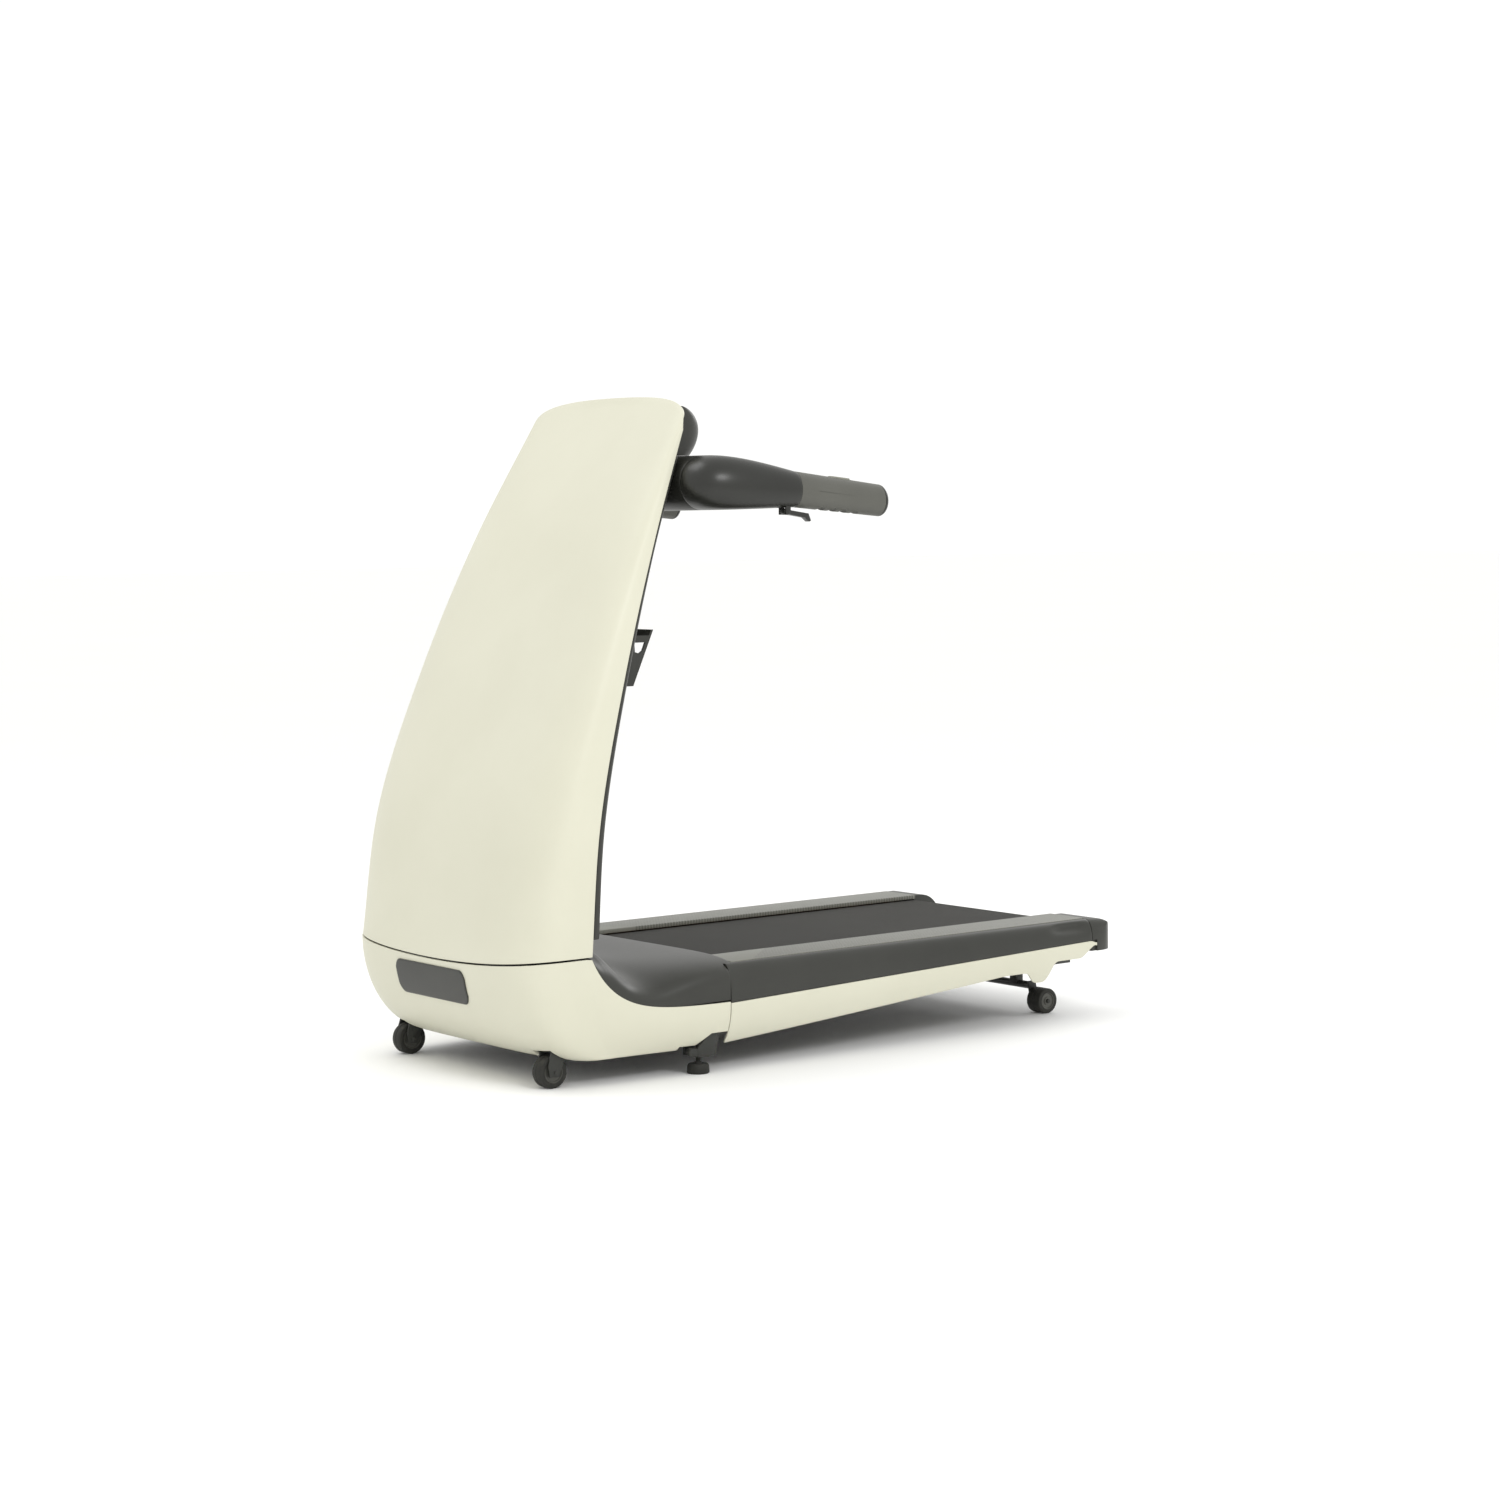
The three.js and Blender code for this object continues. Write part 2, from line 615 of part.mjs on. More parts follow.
function motorRotor() {
  const r = MOTOR_PULLEY_R;
  const profile = [
    [PULLEY_X - 9, 0], [PULLEY_X - 9, r + 3], [PULLEY_X - 7, r], [PULLEY_X + 7, r],
    [PULLEY_X + 9, r + 3], [PULLEY_X + 9, 6], [-44, 6], [-44, 0],
  ];
  return turnedOnX(profile, 0, MOTOR.y, MOTOR.z);
}

// Welded ladder frame under the deck, with the motor tray and the roller saddles.
function baseFrame() {
  const pieces = [];
  for (const [, side] of SIDES) {
    const [x0, x1] = side > 0 ? [FRAME_X - 20, FRAME_X + 20] : [-FRAME_X - 20, -FRAME_X + 20];
    pieces.push(block(x0, x1, -640, 676, FRAME_LOW, FRAME_HIGH));
    for (const y of [FRONT_ROLLER_Y, REAR_ROLLER_Y - 2]) {
      pieces.push(block(x0 + 8, x1 - 8, y - 14, y + 14, FRAME_HIGH - 5, ROLLER_Z - 8.5));
    }
  }
  for (const [y0, y1] of [[-640, -606], [-560, -536], [-404, -380]]) {
    pieces.push(block(-FRAME_X, FRAME_X, y0, y1, 98, 134));
  }
  for (const [y0, y1] of [[-240, -210], [180, 210], [612, 650]]) {
    pieces.push(block(-FRAME_X, FRAME_X, y0, y1, 105, 143));
  }
  pieces.push(block(-190, 206, -550, -390, 98, 104));
  for (const x of [-200, 200]) {
    pieces.push(block(x - 8, x + 8, -638, -612, 130, 207.7));
  }
  return join(...pieces);
}

// ---------------------------------------------------------------- wheels and feet
function wheel(size) {
  const { r, width } = size;
  const half = width / 2;
  const profile = [
    [-half, 4.6], [-half, r - 4], [-half + 4, r], [half - 4, r], [half, r - 4],
    [half, r * 0.72], [half - 4, r * 0.6], [half - 4, 4.6], [-half, 4.6],
  ];
  return turnedOnX(profile, size.x, size.y, r, 22);
}

function frontFork() {
  const { x, y, r, width } = FRONT_WHEEL;
  const cheek = [
    [y - 12, r - 8], [y + 8, r - 9], [y + 16, r + 10], [y + 34, 97.7], [y + 2, 97.7],
    [y - 16, r + 14],
  ];
  const inner = x - width / 2 - 1.5;
  const outer = x + width / 2 + 1.5;
  return join(
    sidePlate(cheek, inner - 4, inner),
    sidePlate(cheek, outer, outer + 4),
    block(inner - 4, outer + 4, y + 4, y + 34, r + 54, 97.7),
    rod(4, inner - 7, outer + 7, y, r));
}

function footBracket() {
  const { x, y } = FOOT;
  const ear = [
    [y - 12, 33], [y + 30, 33], [y + 38, 72], [y + 38, 77], [y + 16, 77], [y + 14, 74],
    [y - 12, 52],
  ];
  const plate = join(
    sidePlate(ear, x + 6, x + 11),
    block(FRAME_X + 20.3, x + 10, y - 12, y + 30, 33, 39),
    block(FRAME_X + 20.3, FRAME_X + 26, y - 12, y + 30, 34, 156),
    rod(8, x - 2, x + 10, y - 24, 44, 20),
    block(x - 2, x + 10, y - 26, y - 8, 36, 50));
  const bore = new THREE.CylinderGeometry(5.4, 5.4, 30, 20).rotateX(Math.PI / 2)
    .translate(x - 6, y, 36);
  return cut(plate, bore);
}

function levellingFoot() {
  const { x, y, r, height } = FOOT;
  const profile = [
    [0, 0], [r - 1, 0], [r, 1], [r - 1.5, height], [7, height], [7, height + 4], [5, height + 4],
    [5, 54], [0, 54],
  ].map(([radius, z]) => new THREE.Vector2(radius, z));
  return new THREE.LatheGeometry(profile, 20).rotateX(Math.PI / 2).translate(x - 6, y, 0);
}

function rearAxleFrame() {
  const { x, y, r, width } = REAR_WHEEL;
  const tube = { y: y - 8, z: 57 };
  const inner = x - width / 2 - 1.5;
  const pieces = [rod(8, -inner, inner, tube.y, tube.z)];
  const arm = [
    [y - 9, r - 9], [y + 9, r - 9], [y + 10, r + 8], [tube.y + 10, tube.z + 10],
    [tube.y - 10, tube.z + 10], [y - 12, r + 8],
  ];
  for (const [, side] of SIDES) {
    pieces.push(handed(sidePlate(arm, inner - 5, inner), side));
    pieces.push(handed(rod(4.2, inner - 2, x + width / 2 + 3, y, r, 20), side));
    pieces.push(handed(block(150, 170, tube.y - 10, tube.y + 10, tube.z, 104.7), side));
  }
  return join(...pieces);
}

// ---------------------------------------------------------------- handlebars
const TRIGGER_PIVOT = { y: GRIP_START - 21, z: 1076 };
const outerGuide = new THREE.CubicBezierCurve(
  new THREE.Vector2(HANDLE.x + GAP, HANDLE.y - HANDLE.r),
  new THREE.Vector2(GRIP_X + 24, HANDLE.y - HANDLE.r),
  new THREE.Vector2(GRIP_X + 35, HANDLE.y - 8),
  new THREE.Vector2(GRIP_X + 31, GRIP_START));
const innerGuide = new THREE.CubicBezierCurve(
  new THREE.Vector2(HANDLE.x + GAP, HANDLE.y + HANDLE.r),
  new THREE.Vector2(HANDLE.x + 14, HANDLE.y + HANDLE.r),
  new THREE.Vector2(GRIP_X - 32, HANDLE.y + 92),
  new THREE.Vector2(GRIP_X - 31, GRIP_START));

function armRing(s) {
  const outer = outerGuide.getPoint(s);
  const inner = innerGuide.getPoint(s);
  const fall = s ** 3;
  return {
    centre: new THREE.Vector3(
      (outer.x + inner.x) / 2, (outer.y + inner.y) / 2, mix(HANDLE.z, 1119, fall)),
    side: new THREE.Vector3((outer.x - inner.x) / 2, (outer.y - inner.y) / 2, 0),
    up: new THREE.Vector3(0, 0, mix(HANDLE.r, 35, fall)),
  };
}

function handleArm() {
  const arm = swept(20, 10, armRing);
  const pivot = TRIGGER_PIVOT;
  const ears = [-12, 8].map((x) => block(
    GRIP_X + x, GRIP_X + x + 4, pivot.y - 6, pivot.y + 6, pivot.z - 6, pivot.z + 20));
  return join(arm, ...ears, rod(2.5, GRIP_X - 12, GRIP_X + 12, pivot.y, pivot.z, 12));
}

// Height of the grip's centre line.
function gripZ(y) {
  return 1119 - 0.107 * (y - GRIP_START);
}

function gripRing(y, scale) {
  const share = (y - GRIP_START) / (GRIP_END - GRIP_START);
  return {
    centre: new THREE.Vector3(GRIP_X, y, gripZ(y)),
    side: new THREE.Vector3(mix(31, 29, share) * scale, 0, 0),
    up: new THREE.Vector3(0, 0, mix(35, 31.5, share) * scale),
  };
}

function handleGrip() {
  const grip = swept(20, 2, (s) => gripRing(mix(GRIP_START + GAP, GRIP_END, s), 1));
  const notches = [-52, -24, 4, 32].map((y) => rod(
    9, GRIP_X - 40, GRIP_X + 40, y, gripZ(y) - 36, 12));
  const pocket = keySlab(0.5, 12);
  return cut(grip, ...notches, pocket);
}

function gripCap() {
  const length = 14;
  return swept(20, 3, (s) => (
    gripRing(GRIP_END + GAP + length * s, Math.sqrt(1 - 0.86 * s ** 2.4))));
}

// Rounded thumb key lying along the top of the grip.
function keySlab(play, depth) {
  const half = 8 + play;
  const reach = 18 + play;
  const outline = new THREE.Shape();
  outline.absarc(0, reach, half, 0, Math.PI, false);
  outline.absarc(0, -reach, half, Math.PI, 2 * Math.PI, false);
  const slab = new THREE.ExtrudeGeometry(outline, {
    depth, bevelEnabled: false, curveSegments: 5,
  });
  return slab.translate(0, 0, play ? -4 : 0).rotateX(-0.107).translate(GRIP_X, 0, gripZ(0) + 28);
}

function trigger() {
  const { y, z } = TRIGGER_PIVOT;
  const lever = [
    [y, z + 4], [y + 54, z - 4], [y + 60, z - 18], [y + 56, z - 20], [y + 46, z - 12],
    [y, z - 5],
  ];
  const boss = rod(6.5, GRIP_X - 7, GRIP_X + 7, y, z, 20);
  const body = join(sidePlate(lever, GRIP_X - 7, GRIP_X + 7), boss);
  return cut(body, rod(2.9, GRIP_X - 10, GRIP_X + 10, y, z, 12));
}

// Round bar across the mast that both handlebars turn on.
function handleCrossbar() {
  const { x, y, z, r } = HANDLE;
  return rod(r, -x, x, y, z, 32);
}

// ---------------------------------------------------------------- console and holder
const FACE_TILT = 0.3;
const FACE = { y: -217, z: 1236 };

// Places a piece built flat (its front towards +Y) on the console's sloping face.
function onFace(geometry) {
  return geometry.rotateX(FACE_TILT).translate(0, FACE.y, FACE.z);
}

function consolePod() {
  const pod = shell(14, 8, (u, v, t, point) => {
    const angle = u * Math.PI / 2;
    const z = mix(BACK_TOP + 3, 1282, v);
    const { edge } = mastAt(z);
    const depth = 112 * Math.sqrt(1 - ((z - 1212) / 71) ** 2);
    const rear = edge + 5 + depth * roundCos(angle, 4);
    point.set(218 * roundSin(angle, 4), t ? edge + 1.3 : rear, z);
  });
  const recess = onFace(block(-142, 142, 0, 60, -34, 36));
  const holes = [-118, 118].map((x) => onFace(
    new THREE.CylinderGeometry(9.6, 9.6, 16, 18).translate(x, -4, 0)));
  const keySlot = onFace(block(-12.5, 12.5, -14, 4, -30.5, -21.5));
  return cut(pod, recess, ...holes, keySlot);
}

function displayLens() {
  return onFace(block(-98, 98, GAP, 3, -20, 20));
}

function consoleButton(x) {
  return onFace(new THREE.CylinderGeometry(9, 9, 12, 18).translate(x, -1, 0));
}

function safetyKey() {
  return onFace(block(-12, 12, -12, 9, -30, -22));
}

function tabletHolder() {
  const half = 222;
  const low = 748;
  const plate = shell(8, 4, (u, v, t, point) => {
    const z = mix(low, 930, v);
    const x = u * half;
    point.set(x, mastBackY(x, z) + (t ? -3 : 26 - 14 * v), z);
  });
  const flap = sidePlate([
    [-419, low - 2], [-413, low - 2], [-364, 853], [-369, 853],
  ], -half, half);
  const floor = sidePlate([[-447, low - 2], [-413, low - 2], [-411, low + 3], [-444, low + 3]],
    -half, half);
  const windows = SIDES.map(([, side]) => handed(block(160, 216, -405, -350, 806, 838), side));
  const pieces = [plate, cut(flap, ...windows), floor];
  for (const x of [-half, half - 5]) {
    const cheek = sidePlate([
      [-446, low], [-415, low], [-371, 842], [-412, 842], [-421, 806],
    ], x, x + 5);
    const eye = sidePlate([
      [-409, 829], [-383, 829], [-390, 813], [-398, 808], [-408, 811],
    ], x - 1, x + 6);
    pieces.push(cut(cheek, eye));
  }
  return cut(join(...pieces), mastBackBlock(-0.4, 40, 264, BACK_TOP));
}

// ---------------------------------------------------------------- assembly
add('base_frame', baseFrame(), steel);
add('hinge_plate', hingePlate(), steel);
add('belly_pan', block(-272, 272, -592, -292, 58, 61), steel);
add('nose_cover', noseCover(), cream);
add('nose_inlay', noseInlay(), shroud);
add('motor_hood', fittedHood(), shroud);
add('fold_shaft', rod(10, -198, 198, PIVOT.y, PIVOT.z), bright);
add('deck_board', deckBoard(), wood);
add('running_belt', runningBelt(), belting);
add('motor', motorBody(), steel);
add('motor_rotor', motorRotor(), bright);
add('drive_belt', driveBelt(), rubber);
add('front_roller', roller(FRONT_ROLLER_Y, true), bright);
add('rear_roller', roller(REAR_ROLLER_Y, false), bright);
add('controller_box', block(36, 200, -526, -412, 104.3, 150), steel);
add('power_inlet', cut(block(-328, -296, -438, -402, 86, 110),
  block(-340, -308, -433, -407, 90, 106)), rubber);
add('power_switch', sidePlate([[-388, 86], [-368, 86], [-368, 110], [-388, 110]], -330, -312), accent);
add('rear_axle_frame', rearAxleFrame(), steel);
add('mast_panel', mastPanel(), cream);
add('mast_back', mastBack(), shroud);
add('mast_frame', mastFrame(), steel);
add('handle_crossbar', handleCrossbar(), handleBlack);
add('console_pod', consolePod(), shroud);
add('display_lens', displayLens(), lens);
add('start_button', consoleButton(-118), railGrey);
add('stop_button', consoleButton(118), accent);
add('safety_key', safetyKey(), accent);
add('tablet_holder', tabletHolder(), shroud);

for (const [hand, side] of SIDES) {
  const both = (name, geometry, material) => add(`${name}_${hand}`, handed(geometry, side), material);
  both('side_cover', sideCover(), shroud);
  both('skirt', skirt(), cream);
  both('foot_rail', footRail(), railGrey);
  both('rear_cap', rearCap(), shroud);
  both('front_fork', frontFork(), steel);
  both('front_wheel', wheel(FRONT_WHEEL), rubber);
  both('rear_wheel', wheel(REAR_WHEEL), rubber);
  both('foot_bracket', footBracket(), steel);
  both('levelling_foot', levellingFoot(), rubber);
  both('handle_arm', handleArm(), handleBlack);
  both('handle_grip', handleGrip(), handleBlack);
  both('grip_cap', gripCap(), handleBlack);
  both('grip_key', keySlab(0, 7), railGrey);
  both('trigger', trigger(), handleBlack);
  for (const [place, y] of [['front', -180], ['rear', 480]]) {
    const cushion = new THREE.CylinderGeometry(15, 16, 17.4, 14).rotateX(Math.PI / 2)
      .translate(FRAME_X, y, 169);
    both(`deck_cushion_${place}`, cushion, rubber);
  }
}

export default treadmill;
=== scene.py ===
# %% [markdown]
# # A folding home treadmill
# The steel frame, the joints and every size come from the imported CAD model. This lesson gives
# each piece the surface a maker would give it. It opens the CAD first, because every new piece
# is placed on it and has to move with it.

# %% Open the frame
import json
import math

import bmesh
import bpy
from mathutils import Matrix, Vector


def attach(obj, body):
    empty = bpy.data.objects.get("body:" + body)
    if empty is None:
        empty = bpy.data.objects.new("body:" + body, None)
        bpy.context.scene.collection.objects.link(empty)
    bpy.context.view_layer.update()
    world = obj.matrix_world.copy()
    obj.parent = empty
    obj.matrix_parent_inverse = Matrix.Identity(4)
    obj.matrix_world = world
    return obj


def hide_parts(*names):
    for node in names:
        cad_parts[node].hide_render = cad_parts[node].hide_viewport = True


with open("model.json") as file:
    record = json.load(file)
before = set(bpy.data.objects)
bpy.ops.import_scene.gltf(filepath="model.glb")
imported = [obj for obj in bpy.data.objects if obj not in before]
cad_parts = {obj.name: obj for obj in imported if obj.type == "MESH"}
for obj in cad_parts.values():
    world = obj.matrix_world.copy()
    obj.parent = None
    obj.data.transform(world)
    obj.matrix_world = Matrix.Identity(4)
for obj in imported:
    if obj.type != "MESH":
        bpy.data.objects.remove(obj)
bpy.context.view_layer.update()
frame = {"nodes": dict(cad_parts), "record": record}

MM = 0.001
record = frame["record"]
SLOT_OF = {row["node"]: row["material_slot"] for row in record["subparts"]}
BODY_OF = {node: body for body, nodes in record["behaviour"]["bodies"].items() for node in nodes}

# %% [markdown]
# ## Camera
# The machine is seen from in front of its nose and well to its right, with the lens near hip
# height. A long lens keeps the two rails almost parallel, as a product shot does. The camera
# comes before the pieces so that each render can be judged from the same place.

# %% Camera
azimuth, pitch, roll = math.radians(52.4), math.radians(4.3), math.radians(-0.77)
ahead = Vector((-math.sin(azimuth) * math.cos(pitch), math.cos(azimuth) * math.cos(pitch),
                -math.sin(pitch)))
level_right = Vector((math.cos(azimuth), math.sin(azimuth), 0))
level_up = level_right.cross(ahead)
right = level_right * math.cos(roll) + level_up * math.sin(roll)
up = level_up * math.cos(roll) - level_right * math.sin(roll)
camera = bpy.data.objects.new("camera", bpy.data.cameras.new("camera"))
bpy.context.scene.collection.objects.link(camera)
camera.matrix_world = Matrix((
    (right.x, up.x, -ahead.x, 5.0016),
    (right.y, up.y, -ahead.y, -3.8136),
    (right.z, up.z, -ahead.z, 1.0609),
    (0, 0, 0, 1)))
camera.data.lens = 73.44
camera.data.sensor_width = 36
bpy.context.scene.camera = camera
print("camera at", tuple(round(v, 3) for v in camera.matrix_world.translation))

# %% [markdown]
# ## Studio
# A white floor under a white sky gives the soft, almost shadowless look of a catalogue page. One
# softbox on the machine's right makes its side brighter than its nose and draws the highlights
# on the dark plastics. One from behind keeps the back of the mast readable. The third hangs high
# in front and to the left, so that the soft shadow leans to the rear.

# %% Studio
world = bpy.data.worlds.new("studio")
bpy.context.scene.world = world
world.use_nodes = True
sky = world.node_tree.nodes["Background"]
sky.inputs["Color"].default_value = (1.0, 1.0, 0.985, 1)
sky.inputs["Strength"].default_value = 1.05
bpy.context.scene.view_settings.view_transform = "Standard"


def softbox(name, place, target, size, power):
    light = bpy.data.objects.new(name, bpy.data.lights.new(name, "AREA"))
    light.data.shape = "RECTANGLE"
    light.data.size, light.data.size_y = size
    light.data.energy = power
    light.location = place
    light.rotation_mode = "QUATERNION"
    light.rotation_quaternion = (Vector(target) - Vector(place)).to_track_quat("-Z", "Y")
    bpy.context.scene.collection.objects.link(light)


softbox("key_right", (3.4, -0.6, 2.4), (0, 0, 0.6), (1.3, 0.9), 34)
softbox("fill_back", (-1.0, 4.2, 2.6), (0, 0, 0.7), (2.6, 1.4), 25)
softbox("top_front", (-1.3, -1.7, 4.0), (0, 0, 0.2), (1.8, 1.8), 26)

# %% [markdown]
# ## Effects shared by several finishes
# Moulded plastic, rubber and painted steel all have three things in common: a fine grain from
# the tool or the powder, a slow drift in tone, and a little dust on what faces up. Each is a
# node group, built once, with its strength as an input. The groups put out values only, so
# each finish keeps its own shader.

# %% Helpers for node groups
def new_group(name, inputs, outputs):
    group = bpy.data.node_groups.new(name, "ShaderNodeTree")
    for label, value in inputs:
        socket = group.interface.new_socket(label, in_out="INPUT", socket_type="NodeSocketFloat")
        socket.default_value = value
    for label in outputs:
        group.interface.new_socket(label, in_out="OUTPUT", socket_type="NodeSocketFloat")
    return group, group.nodes.new("NodeGroupInput"), group.nodes.new("NodeGroupOutput")


def maths(tree, operation, first, second=None, clamp=False):
    node = tree.nodes.new("ShaderNodeMath")
    node.operation = operation
    node.use_clamp = clamp
    for slot_number, value in enumerate((first, second)):
        if isinstance(value, (int, float)):
            node.inputs[slot_number].default_value = value
        elif value is not None:
            tree.links.new(value, node.inputs[slot_number])
    return node.outputs[0]


def object_coords(tree):
    return tree.nodes.new("ShaderNodeTexCoord").outputs["Object"]


def mapped(tree, scale=(1, 1, 1), rotation=(0, 0, 0)):
    """Object coordinates, stretched and turned."""
    node = tree.nodes.new("ShaderNodeMapping")
    node.inputs["Scale"].default_value = scale
    node.inputs["Rotation"].default_value = rotation
    tree.links.new(object_coords(tree), node.inputs["Vector"])
    return node.outputs[0]


def noise(tree, scale, detail=3.0, vector=None):
    node = tree.nodes.new("ShaderNodeTexNoise")
    node.inputs["Detail"].default_value = detail
    if isinstance(scale, (int, float)):
        node.inputs["Scale"].default_value = scale
    else:
        tree.links.new(scale, node.inputs["Scale"])
    tree.links.new(vector or object_coords(tree), node.inputs["Vector"])
    return node.outputs["Fac"]


# %% Grain group
grain_group, grain_in, grain_out = new_group(
    "moulded_grain", [("Grain Scale", 900.0), ("Drift Scale", 4.0)], ["Height", "Drift"])
grain_fine = noise(grain_group, grain_in.outputs["Grain Scale"], 2.0)
grain_slow = noise(grain_group, grain_in.outputs["Drift Scale"], 4.0)
grain_group.links.new(grain_fine, grain_out.inputs["Height"])
grain_group.links.new(grain_slow, grain_out.inputs["Drift"])
print("group", grain_group.name, "outputs", len(grain_out.inputs) - 1)

# %% Dust group
dust_group, dust_in, dust_out = new_group("settled_dust", [("Amount", 0.2)], ["Mask"])
facing = dust_group.nodes.new("ShaderNodeSeparateXYZ")
dust_group.links.new(dust_group.nodes.new("ShaderNodeNewGeometry").outputs["Normal"],
                     facing.inputs[0])
lying = maths(dust_group, "POWER", maths(dust_group, "MAXIMUM", facing.outputs["Z"], 0.0), 3.0)
patches = maths(dust_group, "MULTIPLY", noise(dust_group, 38.0, 6.0), lying)
dust_group.links.new(maths(dust_group, "MULTIPLY", patches, dust_in.outputs["Amount"]),
                     dust_out.inputs["Mask"])
print("group", dust_group.name, "falls on what faces up")

# %% Fine scratch group
scratch_group, scratch_in, scratch_out = new_group(
    "hairline_scratches", [("Amount", 0.3)], ["Mask"])
stretched = mapped(scratch_group, (900, 14, 60), (0.3, 0.2, 0.5))
lines = noise(scratch_group, 1.0, 2.0, stretched)
thin = maths(scratch_group, "GREATER_THAN", lines, 0.66)
scratch_group.links.new(maths(scratch_group, "MULTIPLY", thin, scratch_in.outputs["Amount"]),
                        scratch_out.inputs["Mask"])
print("group", scratch_group.name, "has", len(scratch_group.nodes), "nodes")

# %% [markdown]
# ## Finishes
# A finish is one Principled shader whose colour wanders a little between two close tones, whose
# roughness is broken up by the grain, and whose bump is the grain itself. The function below
# builds that for any moulded or painted piece, so the finishes differ only in their numbers.

# %% One moulded finish
FINISH = {}


def finish_base(name, metallic=0.0, specular=0.5, coat=0.0, coat_roughness=0.1):
    material = bpy.data.materials.new(name)
    material.use_nodes = True
    shader = material.node_tree.nodes["Principled BSDF"]
    shader.inputs["Metallic"].default_value = metallic
    shader.inputs["Specular IOR Level"].default_value = specular
    shader.inputs["Coat Weight"].default_value = coat
    shader.inputs["Coat Roughness"].default_value = coat_roughness
    return material, material.node_tree, shader


def use_group(tree, group, **values):
    node = tree.nodes.new("ShaderNodeGroup")
    node.node_tree = group
    for label, value in values.items():
        node.inputs[label.replace("_", " ")].default_value = value
    return node


def tone_mix(tree, factor, first, second):
    node = tree.nodes.new("ShaderNodeMix")
    node.data_type = "RGBA"
    tree.links.new(factor, node.inputs["Factor"])
    for socket, tone in ((node.inputs["A"], first), (node.inputs["B"], second)):
        if isinstance(tone, tuple):
            socket.default_value = (*tone, 1)
        else:
            tree.links.new(tone, socket)
    return node.outputs["Result"]


def spread(tree, value, low, high):
    node = tree.nodes.new("ShaderNodeMapRange")
    tree.links.new(value, node.inputs["Value"])
    node.inputs["From Min"].default_value = 0.3
    node.inputs["From Max"].default_value = 0.7
    node.inputs["To Min"].default_value = low
    node.inputs["To Max"].default_value = high
    return node.outputs["Result"]


def complete(name, material, colour, rough, height, depth):
    """Links a finish's colour, roughness and bump, and files it under its name."""
    tree = material.node_tree
    shader = tree.nodes["Principled BSDF"]
    bump = tree.nodes.new("ShaderNodeBump")
    bump.inputs["Distance"].default_value = depth
    bump.inputs["Strength"].default_value = 1.0
    tree.links.new(height, bump.inputs["Height"])
    tree.links.new(bump.outputs[0], shader.inputs["Normal"])
    tree.links.new(colour, shader.inputs["Base Color"])
    tree.links.new(rough, shader.inputs["Roughness"])
    FINISH[name] = material


DUST_TONE = (0.42, 0.41, 0.37)


def moulded(name, dark, light, rough, grain, depth, dust=0.1, scratch=0.0, **base):
    material, tree, _ = finish_base(name, **base)
    surface = use_group(tree, grain_group, Grain_Scale=grain, Drift_Scale=5.0)
    drift = spread(tree, surface.outputs["Drift"], 0.0, 1.0)
    colour = tone_mix(tree, drift, dark, light)
    settled = use_group(tree, dust_group, Amount=dust)
    colour = tone_mix(tree, settled.outputs["Mask"], colour, DUST_TONE)
    wear = use_group(tree, scratch_group, Amount=scratch)
    colour = tone_mix(tree, wear.outputs["Mask"], colour, tuple(min(c * 1.7, 1) for c in light))
    matt = spread(tree, surface.outputs["Height"], rough - 0.05, rough + 0.05)
    matt = maths(tree, "ADD", matt, settled.outputs["Mask"], clamp=True)
    complete(name, material, colour, matt, surface.outputs["Height"], depth)


moulded("cream_shell", (0.615, 0.605, 0.49), (0.64, 0.63, 0.515), 0.46, grain=1400, depth=0.00001,
        dust=0.03, coat=0.08, coat_roughness=0.32, specular=0.32)
moulded("dark_shroud", (0.024, 0.0245, 0.0205), (0.032, 0.0325, 0.0275), 0.38, grain=1500,
        depth=0.00002, dust=0.05, scratch=0.03, specular=0.42)
moulded("handle_plastic", (0.010, 0.0103, 0.0082), (0.015, 0.0153, 0.0125), 0.33, grain=1400,
        depth=0.00001, dust=0.02, scratch=0.02, specular=0.5)
moulded("grip_rubber", (0.078, 0.078, 0.067), (0.10, 0.10, 0.087), 0.48, grain=1700,
        depth=0.00005, dust=0.05, specular=0.4)
moulded("black_rubber", (0.016, 0.016, 0.0135), (0.027, 0.027, 0.023), 0.62, grain=800,
        depth=0.00008, dust=0.2, specular=0.3)
moulded("hub_plastic", (0.05, 0.05, 0.043), (0.075, 0.075, 0.064), 0.4, grain=1300,
        depth=0.00003, dust=0.15, scratch=0.05)
moulded("black_steel", (0.02, 0.021, 0.018), (0.03, 0.031, 0.027), 0.42, grain=520,
        depth=0.00009, dust=0.2, scratch=0.06, specular=0.4)
moulded("red_plastic", (0.3, 0.018, 0.012), (0.38, 0.026, 0.016), 0.35, grain=1300,
        depth=0.00003, dust=0.08)
moulded("key_plastic", (0.2, 0.2, 0.165), (0.25, 0.25, 0.205), 0.4, grain=1300,
        depth=0.00002, dust=0.05)
print("finishes so far:", len(FINISH))

# %% [markdown]
# ## Belt cloth
# A running belt is a polyester weave with a thin coat of rubbery plastic pressed into a pattern
# of tiny lozenges for grip. Two crossed sets of waves, turned to run along the diagonals, give
# the lozenges. A slow noise makes the lanes where shoes land a little paler.

# %% Belt cloth
def diagonal_waves(tree, pitch, angle):
    split = tree.nodes.new("ShaderNodeSeparateXYZ")
    tree.links.new(mapped(tree, rotation=(0, 0, angle)), split.inputs[0])
    phase = maths(tree, "MULTIPLY", split.outputs["X"], 2 * math.pi / pitch)
    return maths(tree, "MULTIPLY_ADD", maths(tree, "SINE", phase), 0.5)


